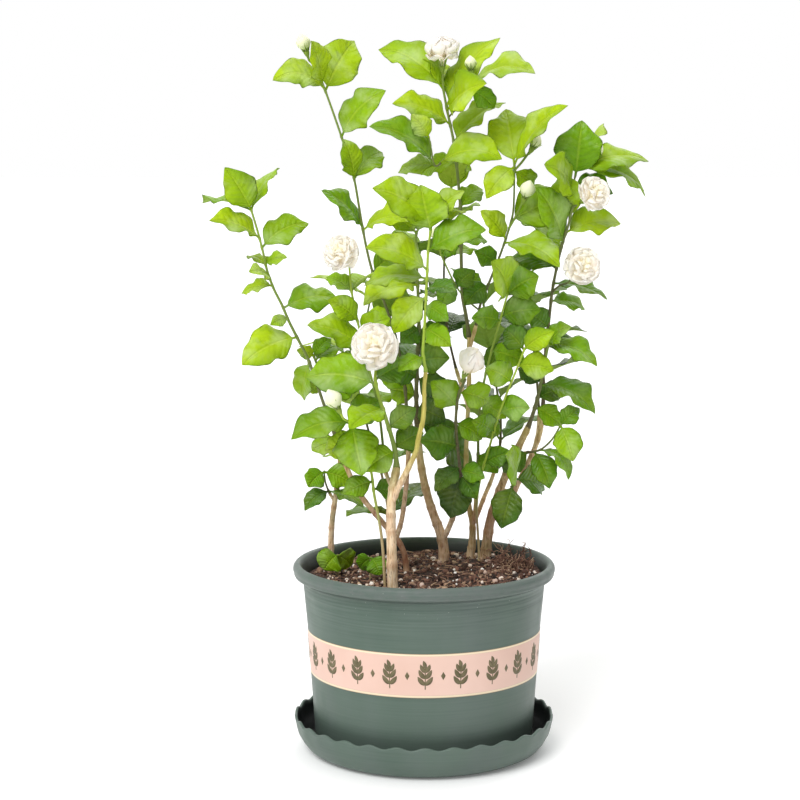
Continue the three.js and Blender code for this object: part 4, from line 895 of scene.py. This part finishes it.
def place_paired_leaves(space):
    random = Sequence(4711)
    for line in LINES:
        first, top = max(line.green_from + 0.4, 3), line.last - 0.1
        for i in range(line.pairs):
            t = first + (top - first) * i / (line.pairs - 1)
            base = axis_at(line.curve, t)
            heading = i * 1.65 + line.phase + random()
            last = 0.5 if i == line.pairs - 1 else 0
            for half in (0, math.pi):
                length = 38 + 14 * random()
                rise = 0.1 + 0.45 * random()
                candidates = (headed_leaf(base, length, heading + half + turn, rise + more + last, heading)
                              for turn in TURNS for more in CLIMBS)
                leaf, free = space.pick(candidates, line.shoot)
                if free >= 0:
                    line.made.append((t, leaf))


def place_leaves():
    space = Room()
    for line in LINES:
        for t in np.arange(0, line.last, 0.25):
            owner = line.cane if t < line.green_from else line.shoot
            space.occupy(axis_at(line.curve, t)[None], owner, line.radius(t) + 3.6)
    for flower in FLOWERS:
        share = 0.6 if flower.kind == "bud" else 0.5
        space.occupy(flower.centre[None], flower.name, share * flower.size + 3)
        if flower.pedicel:
            for t in np.arange(0.5, 2, 0.25):
                space.occupy(axis_at(flower.pedicel, t)[None], flower.line.shoot, 4.5)
    place_drawn_leaves(space)
    place_paired_leaves(space)


# ---- canes and stems ----

STEM_TONES = {  # below 0 for a yellow-green stem, above 0 for a grey-brown one
    "front": -0.35, "front_right": -0.6, "bloom_stem": -0.3, "right_thin": -0.6, "nine": -0.2,
    "left_low": -0.5, "low_left_leaf": -0.5, "low_front_leaf": -0.5, "left": -0.1, "top_left": 0.0,
    "far_left": 0.1, "middle_right": 0.2, "right": 0.05, "right_inner": -0.25, "back_top": 0.3,
    "back_left": 0.25, "right_arm": 0.2,
}
GOLDEN_CANES = {"front_right": 0.95, "right_top": 0.35, "right": 0.5, "right_inner": 0.6}
DARK_CANES = {"left": 0.9, "top_left": 0.7, "middle": 0.4, "far_right": 0.25, "middle_right": 0.2,
              "right_arm": 0.4}
THINNED_CANES = {"right": 0.3, "front_right": 0.12}  # how much thinner a cane gets above its forks
CANE_SIDES = 18


def smooth(points, ts):
    """Points at ts on a rounded curve through a line's points, close to the straight pieces between them."""
    p = np.array(points)
    step = p[1:] - p[:-1]
    length = np.sqrt((step ** 2).sum(1))
    way = step / length[:, None]
    heading = unit(np.vstack([way[:1], way[:-1] + way[1:], way[-1:]]))
    reach = np.concatenate([length[:1], np.minimum(length[:-1], length[1:]), length[-1:]])
    pull = heading * reach[:, None] * 0.9
    i = np.clip(np.floor(ts).astype(int), 0, len(p) - 2)
    u = (ts - i)[:, None]
    return ((1 + 2 * u) * (1 - u) ** 2 * p[i] + u * (1 - u) ** 2 * pull[i]
            + u * u * (3 - 2 * u) * p[i + 1] + u * u * (u - 1) * pull[i + 1])


def spaced(points, t0, t1, gap):
    """Values of t from t0 to t1, so close that points lie about `gap` apart."""
    p = np.array(points)
    reach = np.concatenate([[0], np.sqrt(((p[1:] - p[:-1]) ** 2).sum(1)).cumsum()])
    d0, d1 = np.interp([t0, t1], np.arange(len(p)), reach)
    count = max(2, math.ceil((d1 - d0) / gap) + 1)
    return np.interp(np.linspace(d0, d1, count), reach, np.arange(len(p)))


def tube(form, centres, radii, sides, slot=0, **values):
    """A round tube along centres. A radius holds for all, for a row or for a point."""
    along = unit(np.gradient(centres, axis=0))
    u = np.zeros_like(centres)
    side = vector(0, 1, 0) if abs(along[0][1]) < 0.9 else vector(1, 0, 0)
    for i, way in enumerate(along):
        side = u[i] = across(side, way)
    v = np.cross(along, u)
    angle = ring_angles(sides)
    ring = u[:, None] * np.cos(angle)[None, :, None] + v[:, None] * np.sin(angle)[None, :, None]
    radii = np.broadcast_to(by_row(radii), ring.shape[:2])
    form.rings(centres[:, None] + ring * radii[..., None], slot, **values)


def add_stem(form, line):
    start = max(0, line.green_from - 0.08)
    ts = spaced(line.curve, start, line.last, 2.2)
    knots = np.zeros(len(ts))  # how near each place is to a leaf's base
    for t, _ in line.made:
        knots = np.maximum(knots, np.exp(-((ts - t) / 0.07) ** 2))
    join = fade(start, start + 0.5, ts) if line.wood else 1
    radii = line.radius(ts) * (1 - 0.28 * join + 0.3 * knots)
    centres = smooth(line.curve, ts)
    height = centres[:, 2]
    age = np.clip(0.95 - 1.1 * (ts - start) / max(1, line.last - start), 0, 1)
    low = np.clip((330 - height) / 200, 0, 1)
    tone = np.clip(0.3 + 0.5 * age + 0.15 * low + STEM_TONES.get(line.name, 0.1), 0, 1)
    woody = 0 if line.wood or line.forked else 0.9 * (1 - fade(165, 215, height))
    tube(form, centres, radii, 10, 1, tone=tone, woody=woody)


def bark_radius(line, ts, angle, rng):
    """An uneven woody radius with ridges along the cane and knots, and how near each point is to a knot."""
    radii = line.radius(ts)[:, None] * np.ones(len(angle))
    near = np.zeros(len(ts))
    for _ in range(5):
        k, lag, pitch = rng.integers(2, 6), rng.uniform(*ANY_PHASE), rng.uniform(-0.35, 0.35)
        ridge = rng.uniform(0.012, 0.035) * np.sin(k * angle[None] + lag + pitch * ts[:, None] * 4)
        radii = radii * (1 + ridge)
    for knot in np.arange(0.7, line.wood_to, 1.0):
        knot += rng.uniform(-0.2, 0.2)
        lean = 1 + 0.5 * np.cos(angle[None] - rng.uniform(*ANY_PHASE))
        swell = np.exp(-((ts - knot) / 0.1) ** 2)
        radii = radii * (1 + 0.13 * swell[:, None] * lean)
        near = np.maximum(near, swell)
    return radii, near


def add_cane(form, line):
    rng = np.random.default_rng(sum(map(ord, line.name)))
    ts = spaced(line.curve, 0, line.wood_to, 1.6)
    radii, knot = bark_radius(line, ts, ring_angles(CANE_SIDES), rng)
    end = ts / line.wood_to
    radii = radii * (1 - THINNED_CANES.get(line.name, 0) * fade(0.15, 0.45, end))[:, None]
    golden = GOLDEN_CANES.get(line.name, 0) * fade(0.1, 0.55, end)
    young = np.maximum(0.6 * np.clip((end - 0.55) * 1.6, 0, 1), golden)
    dark = DARK_CANES.get(line.name, 0.0)
    tube(form, smooth(line.curve, ts), radii, CANE_SIDES, young=young, knot=knot, dark=dark)


def grouped(lines, key):
    """The lines of each cane or each shoot, in the table's order."""
    groups = {}
    for line in lines:
        groups.setdefault(getattr(line, key), []).append(line)
    return groups.items()


def make_canes():
    for name, lines in grouped((line for line in LINES if line.wood), "cane"):
        form = Form()
        for line in lines:
            add_cane(form, line)
        form.piece("visual_" + name, ["bark"], name)


# ---- leaves ----

BLADE_ROWS = 26


def ring_of(*places):
    """The lower face of a blade from margin to margin, then the upper face, from places on half of it."""
    whole = vector(*places, 0, *(-p for p in reversed(places)))
    return np.concatenate([whole, whole[::-1][1:-1]])


LEAF_S = ring_of(1, 0.88, 0.64, 0.38, 0.13)
PETAL_S = ring_of(1, 0.8, 0.6, 0.4, 0.2)
RING_FACE = np.concatenate([[0], -np.ones(9), [0], np.ones(9)])  # -1 on the lower face, 1 on the upper


def add_leaf(form, leaf, root, tone, rng, rounded):
    t, s = np.meshgrid(np.linspace(0, 1, BLADE_ROWS), LEAF_S, indexing="ij")
    face = np.broadcast_to(RING_FACE, t.shape)
    power, crimped, pointed, veined = (0.55, 0.02, 0, 0.04) if rounded else (0.82, 0.062, 0.2, 0.12)
    middle, side, normal = leaf.frame(t[..., None])
    spread = outline(t)
    width = np.abs(s)
    crimp = np.sin(11 * t + 1.7 * leaf.phase + np.where(s > 0, 0.4, 2.4)) + 0.7 * np.sin(23 * t + leaf.phase)
    half = leaf.half(t, power)
    half = half * (1 + crimped * (crimp + spread) * width * fade(0.12, 0.3, t))
    half = half * (1 - pointed * fade(0.7, 0.97, t))
    fold = 0 if rounded else LEAF_FOLD + rng.uniform(-0.12, 0.14)
    rise = fold * half * (np.sqrt(s * s + 0.012) - 0.11)
    rise = rise + leaf.wave(t, s) * 1.9
    rise = rise + 0.07 * half * np.sin(np.pi * width) * spread
    ripple = np.sin(29 * t + 2.7 * leaf.phase + np.where(s > 0, 0, 2.0))
    rise = rise + 0.034 * leaf.width * width ** 3 * ripple * spread
    rise = rise - rng.uniform(0.0, 0.06) * leaf.length * fade(0.6, 1, t) ** 2
    rise = rise + rng.uniform(-0.16, 0.16) * s * half * fade(0.15, 0.9, t)
    rise = rise - rng.uniform(0.0, 0.1) * half * fade(0.7, 1, width)
    run = VEINS * (t - VEIN_LEAN * width ** VEIN_CURVE)
    pleat = np.cos(2 * np.pi * run + np.pi)
    rise = rise + veined * spread * (1 - width ** 4) * fade(0.05, 0.3, width) * pleat
    petiole = 1 - fade(0.06, 0.15, t)
    thick = 0.07 + 0.1 * round_off(s)
    rib = 0.42 * np.exp(-(s * half / 0.6) ** 2) * (1 - 0.75 * t) * (face < 0)
    lift = face * ((thick + rib) * (1 - petiole) + 0.8 * round_off(s) * petiole)
    points = middle + side * (s * half)[..., None] + normal * (rise * (1 - petiole) + lift)[..., None]
    points = points + (root - leaf.base) * (1 - fade(0.0, 0.22, t))[..., None]
    form.rings(points, tone=tone, along=t, side=s, under=face < 0)


def spot(x, z, across_x, across_z, place):
    """1 at x, z in the front, and less and less away from it."""
    return np.exp(-((place[0] - x) / across_x) ** 2 - ((place[2] - z) / across_z) ** 2)


def leaf_tone(line, t, tip, rng):
    """From 0, a bright leaf, to 1, a dark one: brighter higher up and towards the young tip of its line,
    with painted light and shade by where the leaf stands.
    """
    x, y, z = tip
    end = (t - line.green_from) / max(0.5, line.last - line.green_from)
    # shade is painted light and shade: darker at the back and low down, and darker or brighter in some
    # places of the front.
    shade = -0.3 * (1 - fade(-45, 10, x)) * (1 - fade(330, 430, z)) - 0.24 * spot(80, 225, 45, 50, tip)
    shade = shade + 0.14 * spot(35, 320, 55, 60, tip) - 0.19 * spot(20, 420, 55, 42, tip)
    shade += 0.1 * (y > 15) + 0.1 * (z < 150)
    return float(np.clip(0.9 - 0.7 * (z - 140) / 400 - 0.2 * end + rng.uniform(-0.3, 0.3) + shade, 0, 1))


# ---- flowers ----


def frame_of(axis):
    u = across(UP if abs(axis[2]) < 0.9 else vector(0, 1, 0), axis)
    return u, np.cross(axis, u)


def revolved(form, profile, sides, centre=0, axis=None, grow=1, lift=0, slot=0, **values):
    """A closed form round an axis, from radii and heights, which may be grown or lifted side by side."""
    if axis is None:
        u, v, axis = vector(1, 0, 0), vector(0, 1, 0), UP
    else:
        u, v = frame_of(axis)
    angle = ring_angles(sides)
    radius, height = np.hsplit(np.array(profile, float), 2)
    radius, height = radius * grow, height + lift
    form.rings(centre + axis * height[..., None] + u * (radius * np.cos(angle))[..., None]
               + v * (radius * np.sin(angle))[..., None], slot, **values)


def add_petal(form, centre, axis, angle, root, tip, width, bend, cup, deep, rng):
    """A broad ruffled petal from root to tip (radius, height), bent along its length and cupped across."""
    u, v = frame_of(axis)
    out = u * math.cos(angle) + v * math.sin(angle)
    side = np.cross(axis, out)
    start, end = (centre + out * radius + axis * height for radius, height in (root, tip))
    end = end + side * rng.uniform(-0.09, 0.09) * width
    face = unit(np.cross(side, end - start))  # away from the flower's axis and front
    control = (start + end) / 2 - face * bend
    t, s = np.meshgrid(np.linspace(0, 1, 14) ** 0.85, PETAL_S, indexing="ij")
    q = 1 - t
    middle = (q * q)[..., None] * start + (2 * q * t)[..., None] * control + (t * t)[..., None] * end
    broad = 0.3 + 0.7 * fade(0, 0.65, t)
    tipward = np.sqrt(np.maximum(0, 1 - np.clip((t - 0.66) / 0.34, 0, 1) ** 2.6))
    half = width / 2 * broad * np.maximum(tipward, 0.02)
    twist, lag = rng.uniform(-0.4, 0.4), rng.uniform(*ANY_PHASE)
    rise = cup * width * s * s * fade(0, 0.4, t) + twist * s * half * t
    rise = rise + 0.06 * width * np.sin(4.4 * s + lag) * fade(0.35, 1, t)
    rise = rise + 0.04 * width * np.sin(7 * t + 3 * s + 2 * lag) * t - 0.1 * width * fade(0.72, 1, t) ** 2
    thick = 0.1 + 0.12 * round_off(s) * (1 - 0.6 * t)
    points = middle + side * (s * half)[..., None] + face * (rise + thick * RING_FACE)[..., None]
    form.rings(points, along=t, deep=deep)


# By kind of bloom: the neck's two radii, its height, and the radii and heights of the core above it. All but
# the neck's radii are shares of the bloom's size.
BALL_CORE = (1.9, 2.3, -0.52, [(0.2, -0.42), (0.3, -0.2), (0.33, 0.05), (0.24, 0.28), (0.08, 0.4)])
OPEN_CORE = (1.8, 1.7, -0.32, [(0.1, -0.2), (0.17, -0.1), (0.17, 0.04), (0.1, 0.14), (0.04, 0.17)])
PETALS = {  # layers: count, root and tip (radius, height), width, bend, cup, depth of colour
    "open": [
        (6, (0.1, -0.14), (0.5, -0.07), 0.44, -0.05, 0.06, 0.0),
        (6, (0.09, -0.08), (0.48, 0.05), 0.4, -0.03, 0.1, 0.05),
        (5, (0.08, -0.02), (0.42, 0.16), 0.38, 0.03, 0.16, 0.15),
        (5, (0.06, 0.02), (0.32, 0.24), 0.33, 0.05, 0.2, 0.3),
        (4, (0.05, 0.04), (0.21, 0.29), 0.28, 0.06, 0.24, 0.45),
        (3, (0.03, 0.05), (0.1, 0.31), 0.2, 0.06, 0.3, 0.7),
    ],
    "dome": [
        (7, (0.1, -0.28), (0.49, -0.19), 0.44, -0.06, 0.06, 0.0),
        (8, (0.28, -0.24), (0.27, 0.2), 0.46, -0.42, -0.12, 0.0),
        (6, (0.22, -0.2), (0.1, 0.28), 0.46, -0.5, -0.12, 0.03),
        (4, (0.1, -0.1), (0.02, 0.3), 0.36, -0.4, -0.1, 0.08),
    ],
    "ball": [
        (6, (0.16, -0.46), (0.24, 0.28), 0.5, -0.44, -0.12, 0.0),
        (6, (0.12, -0.4), (0.14, 0.38), 0.46, -0.5, -0.12, 0.06),
        (5, (0.1, -0.3), (0.06, 0.43), 0.36, -0.46, -0.1, 0.15),
        (3, (0.06, 0.1), (0.03, 0.46), 0.22, -0.1, -0.1, 0.4),
    ],
}


def make_blooms():
    for n, bloom in enumerate(BLOOMS):
        form = Form()
        rng = np.random.default_rng(300 + n)
        d, centre, axis = bloom.size, bloom.centre, bloom.axis
        low, high, neck, core = BALL_CORE if bloom.kind == "ball" else OPEN_CORE
        profile = [(low, -bloom.back + GAP), (high, neck * d)] + [(r * d, h * d) for r, h in core]
        revolved(form, profile, 14, centre, axis, along=np.linspace(0.1, 0.5, len(profile)), deep=0.8)
        for k, (count, root, tip, width, bend, cup, deep) in enumerate(PETALS[bloom.kind]):
            for i in range(count):
                angle = 2 * math.pi * (i + 0.5 * k + 0.13) / count + rng.uniform(-0.12, 0.12)
                grow = rng.uniform(0.9, 1.0)
                tip_at = (tip[0] * d * grow, (tip[1] + rng.uniform(-0.035, 0.035)) * d)
                breadth = width * d * rng.uniform(0.9, 1.1)
                root_at = (root[0] * d, root[1] * d)
                add_petal(form, centre, axis, angle, root_at, tip_at, breadth, bend * d, cup, deep, rng)
        form.piece("visual_" + bloom.name, ["petal"], bloom.name)


def make_buds():
    for bud in BUDS:
        form = Form()
        d = bud.size
        t = np.linspace(0, 1, 16)
        radius = 0.5 * d * np.sin(np.pi * np.clip(0.12 + 0.88 * t, 0, 1)) ** 0.75 * (1 - 0.25 * t ** 3)
        height = (-0.46 + 1.06 * t) * d
        profile = [(1.2, -bud.back + GAP), (1.25, -0.5 * d), *zip(np.maximum(radius, 0.15), height)]
        h = np.array(profile)[:, 1:]
        ridges = np.cos(3 * (ring_angles(24) + 2.4 * h / d)) ** 3 * np.clip(0.5 + h / d, 0, 1)
        along = np.concatenate([[0, 0.05], 0.1 + 0.9 * t])
        revolved(form, profile, 24, bud.centre, bud.axis, 1 + 0.07 * ridges,
                 along=along, tone=min(1, d / 14))
        form.piece("visual_" + bud.name, ["bud"], bud.name)


def add_calyx(form, flower, rng):
    """The green cup behind a flower, with thin pointed sepals that lie round its tube."""
    end, axis, d = flower.end, flower.axis, flower.size
    profile = [(0.9, -5.5), (1.1, -4.4), (1.7, -3), (2.2, -1.4), (2.3, 0.2), (1.7, 0.25)]
    revolved(form, profile, 12, end, axis, slot=1, tone=0.25)
    u, v = frame_of(axis)
    t = np.linspace(0, 1, 7)
    length, flare = (0.62 * d, 0.36 * d * t ** 1.3) if flower.kind == "bud" else (9.0, 3.4 * t ** 1.6)
    count = 8
    for i in range(count):
        angle = 2 * math.pi * (i + rng.uniform(-0.15, 0.15)) / count
        out = u * math.cos(angle) + v * math.sin(angle)
        away = 2.0 + flare * rng.uniform(0.85, 1.15)
        centres = end + axis * (t * length * rng.uniform(0.85, 1.1))[:, None] + out * away[:, None]
        tube(form, centres, 0.55 * (1 - t ** 1.5) + 0.12, 6, 1, tone=0.15 + 0.25 * (1 - t))


def add_shoot(form, line, rng):
    add_stem(form, line)
    for t, leaf in line.made:
        root = smooth(line.curve, np.array([t]))[0]
        add_leaf(form, leaf, root, leaf_tone(line, t, leaf.tip, rng), rng, "ground" in line.shoot)
    for flower in FLOWERS:
        if flower.line is line:
            if flower.pedicel:
                ts = spaced(flower.pedicel, 0, 2, 1.5)
                tube(form, smooth(flower.pedicel, ts), 0.9, 8, 1, tone=0.3)
            add_calyx(form, flower, rng)


def make_shoots():
    rng = np.random.default_rng(77)
    for name, lines in grouped(LINES, "shoot"):
        form = Form()
        for line in lines:
            add_shoot(form, line, rng)
        form.piece("visual_" + name, ["leaf", "stem"], name)


# ---- pot and saucer ----

# Profiles, as radii and heights.
POT_OUTSIDE = [(2, POT_FOOT), (78.5, POT_FOOT), (80.8, 3.2), (82.3, 4.2), (83.1, 6.0), (86.8, 60.3),
               (87.05, 60.7), (89.1, 94), (88.95, 94.4), (91.4, 120.6), (91.2, 121.4), (91.5, 122.2),
               (91.9, 126.0), (91.7, 126.8), (92.0, 127.6), (92.4, 130.6), (93.2, 131.3), (93.5, 132.2),
               (93.0, 133.1), (94.4, 134.0), (97.4, 134.2), (98.6, 134.7), (99.2, 135.9), (98.9, 137.0),
               (99.7, 138.2), (100, 139.6), (99.7, 141.4), (98.7, 142.9), (97.5, 143.8), (96, RIM_HEIGHT)]
POT_INSIDE = [(95.0, 143.7), (93.8, 142.4), (92.4, 139.4), (91.0, 135.8), WALL_HIGH, WALL_LOW, (80.6, 6.1),
              (2, 6.1)]
SAUCER = [(2, 0), (82.5, 0), (84.6, 0.3), (90, 3), (93.6, 7.6), (96.8, 13.2), (98.2, 18), (99.2, 23.4),
          (99.5, 24.6), (99.2, 25.4), (98.4, 25.8), (97.6, 25.4), (97.2, 24.4), (96.4, 19), (94.8, 13.8),
          (91.4, 8.4), (88.2, 4), (86, 2.7), (84, SAUCER_FLOOR), (2, SAUCER_FLOOR)]


def divided(profile, gap):
    """A profile with extra points, at most `gap` apart."""
    made = [profile[0]]
    for a, b in zip(profile, profile[1:]):
        count = max(1, math.ceil(math.dist(a, b) / gap))
        made += [(a[0] + (b[0] - a[0]) * i / count, a[1] + (b[1] - a[1]) * i / count)
                 for i in range(1, count + 1)]
    return made


def make_pot():
    form = Form()
    outside, inside = divided(POT_OUTSIDE, 3), divided(POT_INSIDE, 4)
    outer = [1.0] * len(outside) + [0.0] * len(inside)
    # depth paints shade on the inside wall, darker and darker below the rim.
    depth = [0.0] * len(outside) + [min(0.85, max(0, (RIM_HEIGHT - z) / 7)) for _, z in inside]
    revolved(form, outside + inside, 240, outer=outer, depth=depth)
    form.piece("visual_pot", ["pot"], "pot")


def make_saucer():
    form = Form()
    sides = SCALLOPS * 14
    profile = divided(SAUCER, 3)
    height = np.array(profile)[:, 1:]
    wave = -SCALLOP_RISE * np.cos(SCALLOPS * ring_angles(sides))
    top = height.argmax()
    # depth paints shade inside the saucer, darker below its rim.
    depth = [0 if i <= top else min(1, max(0, (26.5 - z) / 3)) for i, (_, z) in enumerate(profile)]
    revolved(form, profile, sides, lift=np.clip((height - 15) / (SAUCER_HEIGHT - 15), 0, 1) * wave,
             outer=0.0, depth=depth)
    form.piece("visual_saucer", ["saucer"], "saucer")


SPRIGS = 21  # round the band, with a small lozenge between each two
SPRIG_LEAVES = [  # height of the base, lean from upright, length, width
    (-6.8, 0.95, 8.4, 3.4), (-2.0, 0.85, 8.2, 3.3), (2.6, 0.75, 7.2, 3.0), (5.6, 0.0, 6.2, 2.8),
]


def print_strip(form, u, v, half):
    """A flat strip of ink on the band, along points u (round the pot) and v (up)."""
    z = (BAND_BOTTOM + BAND_TOP) / 2 + v
    surface = BAND_FOOT + (z - BAND_BOTTOM) * BAND_FLARE / (BAND_TOP - BAND_BOTTOM)
    way = unit(np.stack([np.gradient(u), np.gradient(v)], -1))
    rows = []
    for s, raised in ((-1, 0.12), (0, 0.14), (1, 0.12), (1, -0.3), (0, -0.3), (-1, -0.3)):
        angle = (u - way[:, 1] * s * half) / BAND_RADIUS
        r = surface + raised
        rows.append(np.stack([r * np.cos(angle), r * np.sin(angle), z + way[:, 0] * s * half], -1))
    form.rings(np.stack(rows, 1))


def make_ornament():
    form = Form()
    t = np.linspace(0, 1, 12)
    for k in range(SPRIGS):
        centre = BAND_RADIUS * 2 * math.pi * (k / SPRIGS - 0.25)
        print_strip(form, centre + 0 * t, -10.0 + 16.0 * t, 0.38 + 0 * t)
        for base, lean, length, width in SPRIG_LEAVES:
            for side in (-1, 1) if lean else (1,):
                angle = side * (lean - 0.25 * t)
                u, v = centre + length * t * np.sin(angle), base + length * t * np.cos(angle)
                print_strip(form, u, v, width / 2 * np.sin(np.pi * t ** 0.85) ** 0.8 + 0.05)
        between = centre + BAND_RADIUS * math.pi / SPRIGS
        print_strip(form, between + 0 * t, -3.0 + 6.0 * t, 1.7 * (1 - np.abs(2 * t - 1)) + 0.04)
    form.piece("band_ornament", ["ink"], None)


# ---- soil ----

SOIL_WAVES = [(0.21, 0.17, 0.7), (0.43, -0.38, 0.45), (-0.77, 0.66, 0.28), (1.3, 1.1, 0.15)]
SOIL_SIDES, SOIL_RINGS = 160, 46
SOIL_BELOW = [(2, 6.7), (79.8, 6.7), (82.7, 45)]  # its profile under the top, as radii and heights
LUMPS_REACH, SMALLEST_LUMP = 85, 1.2
FIBRES, FIBRES_REACH = 420, 83
ROOTLETS, ROOTLETS_AT, ROOTLETS_TOP, ROOTLETS_REACH = 120, (71, 13), 161, 86


def rough_soil(x, y):
    """The height of the soil with its lumps."""
    z = soil_height(x, y)
    for k, (px, py, high) in enumerate(SOIL_WAVES):
        z = z + high * np.sin(px * x + 2.1 * k) * np.cos(py * y + 1.3 * k)
    return z


def make_soil():
    form = Form()
    (low, low_z), (high, high_z) = WALL_LOW, WALL_HIGH
    edge = low + (high - low) * (SOIL_LEVEL - 5 - low_z) / (high_z - low_z) - 0.5
    rings = [(edge * k, 0) for k in np.linspace(1, 0.02, SOIL_RINGS)]
    profile = np.array([*SOIL_BELOW, (edge - 0.2, 128), *rings])
    radius, height = np.hsplit(profile, 2)
    angle = ring_angles(SOIL_SIDES)
    top = rough_soil(radius * np.cos(angle), radius * np.sin(angle))
    revolved(form, profile, SOIL_SIDES, lift=np.where(height > 0, 0, top))
    form.piece("visual_soil", ["soil"], "soil")


def lump_shape():
    """The points and faces of a ball of 42 points."""
    mesh = bpy.data.meshes.new("lump")
    made = bmesh.new()
    bmesh.ops.create_icosphere(made, subdivisions=2, radius=1)
    made.to_mesh(mesh)
    made.free()
    points = np.array([v.co[:] for v in mesh.vertices])
    faces = [list(p.vertices) for p in mesh.polygons]
    bpy.data.meshes.remove(mesh)
    return points, faces


def drop(rng, reach):
    """A random place on the soil, at most `reach` from its middle."""
    r, angle = reach * math.sqrt(rng.uniform(0, 1)), rng.uniform(*ANY_ANGLE)
    return r * math.cos(angle), r * math.sin(angle)


def scatter(name, seed, count, largest, sink, flattest):
    """Small lumps on the soil, each with its own shape and tone, in one piece."""
    rng = np.random.default_rng(seed)
    ball, faces = lump_shape()
    form = Form()
    for _ in range(count):
        x, y = drop(rng, LUMPS_REACH)
        size = SMALLEST_LUMP + (largest - SMALLEST_LUMP) * rng.uniform(0, 1) ** 2
        lump = ball * (1 + rng.uniform(-0.22, 0.22, (len(ball), 1))) * rng.uniform(flattest, 1, 3)
        spin, lean = rng.uniform(*ANY_ANGLE), rng.uniform(-0.6, 0.6)
        c, s = math.cos(spin), math.sin(spin)
        lump = lump @ np.array([[c, s, 0], [-s, c, 0], [0, 0, 1]])
        c, s = math.cos(lean), math.sin(lean)
        lump = lump @ np.array([[1, 0, 0], [0, c, s], [0, -s, c]])
        lump = lump * size / 2 + vector(x, y, float(rough_soil(x, y)) + size * (0.5 - sink))
        form.add(lump, faces, tone=rng.uniform(0, 1))
    form.piece(name, [name], None)


def make_fibres():
    """Short dry fibres that lie on the soil."""
    rng = np.random.default_rng(61)
    form = Form()
    for _ in range(FIBRES):
        x, y = drop(rng, FIBRES_REACH)
        heading = rng.uniform(*ANY_ANGLE)
        run = np.linspace(-1, 1, 6) * rng.uniform(1.5, 5.5)
        bend = heading + run * rng.uniform(-0.15, 0.15)
        x, y = x + run * np.cos(bend), y + run * np.sin(bend)
        near = np.minimum(1, (FIBRES_REACH + 1) / np.hypot(x, y))
        x, y = x * near, y * near
        z = rough_soil(x, y) + 0.8 + rng.uniform(0, 1.2) * (1 - (run / run[-1]) ** 2)
        tube(form, np.stack([x, y, z], 1), rng.uniform(0.22, 0.5), 4, tone=rng.uniform(0.5, 1))
    form.piece("fibres", ["crumbs"], None)


def make_rootlets():
    """Dry, tangled rootlets that stand out of the soil at the right."""
    rng = np.random.default_rng(52)
    form = Form()
    for _ in range(ROOTLETS):
        place = vector(*(at + rng.normal(0, spread) for at, spread in zip(ROOTLETS_AT, (6, 8))), 0)
        place[2] = rough_soil(place[0], place[1]) - 1.5
        way = unit(vector(rng.normal(-0.2, 0.5), rng.normal(0, 0.5), rng.uniform(0.5, 1.6)))
        points = [place.copy()]
        for _ in range(11):
            way = unit(way + rng.normal(0, 0.6, 3) + vector(-0.03, 0, 0.0))
            place = place + way * rng.uniform(1.8, 3.2)
            place[2] = min(place[2], ROOTLETS_TOP - 3 * rng.uniform(0, 1))
            r = math.hypot(place[0], place[1])
            if r > ROOTLETS_REACH:
                place[:2] *= ROOTLETS_REACH / r
            place[2] = max(place[2], float(rough_soil(place[0], place[1])))
            points.append(place.copy())
        ts = spaced(points, 0, len(points) - 1, 1.3)
        end = ts / ts[-1]
        tube(form, smooth(points, ts), 0.42 - 0.2 * end, 5, tone=rng.uniform(0.35, 0.95))
    form.piece("rootlets", ["crumbs"], None)


# ---- everything, in order ----

make_camera()
make_world()
make_suns()
make_floor()
MATERIALS = {
    "pot": resin_material("pot_resin", True),
    "saucer": resin_material("saucer_resin", False),
    "soil": soil_material(),
    "crumbs": grain_material(  # bark crumbs and peat lumps, from dark to reddish brown
        "crumbs", 900, 6, 0.8, 0.5, 0.9,
        (0.0, (0.016, 0.009, 0.007)), (0.4, (0.085, 0.038, 0.025)), (0.75, (0.24, 0.12, 0.08)),
        (1.0, (0.5, 0.34, 0.22))),
    "perlite": grain_material(
        "perlite", 1400, 5, 0.7, 0.3, 0.85,
        (0.0, (0.55, 0.36, 0.28)), (0.4, (0.8, 0.66, 0.56)), (1.0, (0.95, 0.92, 0.87))),
    "bark": bark_material(),
    "stem": stem_material(),
    "leaf": leaf_material(),
    "petal": petal_material(),
    "bud": bud_material(),
    "ink": ink_material(),
}
BY_NAME = {}
for row in LINE_TABLE:
    BY_NAME[row[0]] = Line(*row)
LINES = list(BY_NAME.values())
BLOOMS = [Flower(*row) for row in BLOOM_TABLE]
BUDS = [Flower(*row) for row in BUD_TABLE]
FLOWERS = BLOOMS + BUDS
for line in LINES:
    line.settle()
place_leaves()
make_pot()
make_ornament()
make_saucer()
make_soil()
scatter("crumbs", 11, 1200, 5.8, 0.35, 0.3)
scatter("perlite", 12, 250, 5.2, 0.3, 0.45)
make_fibres()
make_rootlets()
make_canes()
make_shoots()
make_blooms()
make_buds()
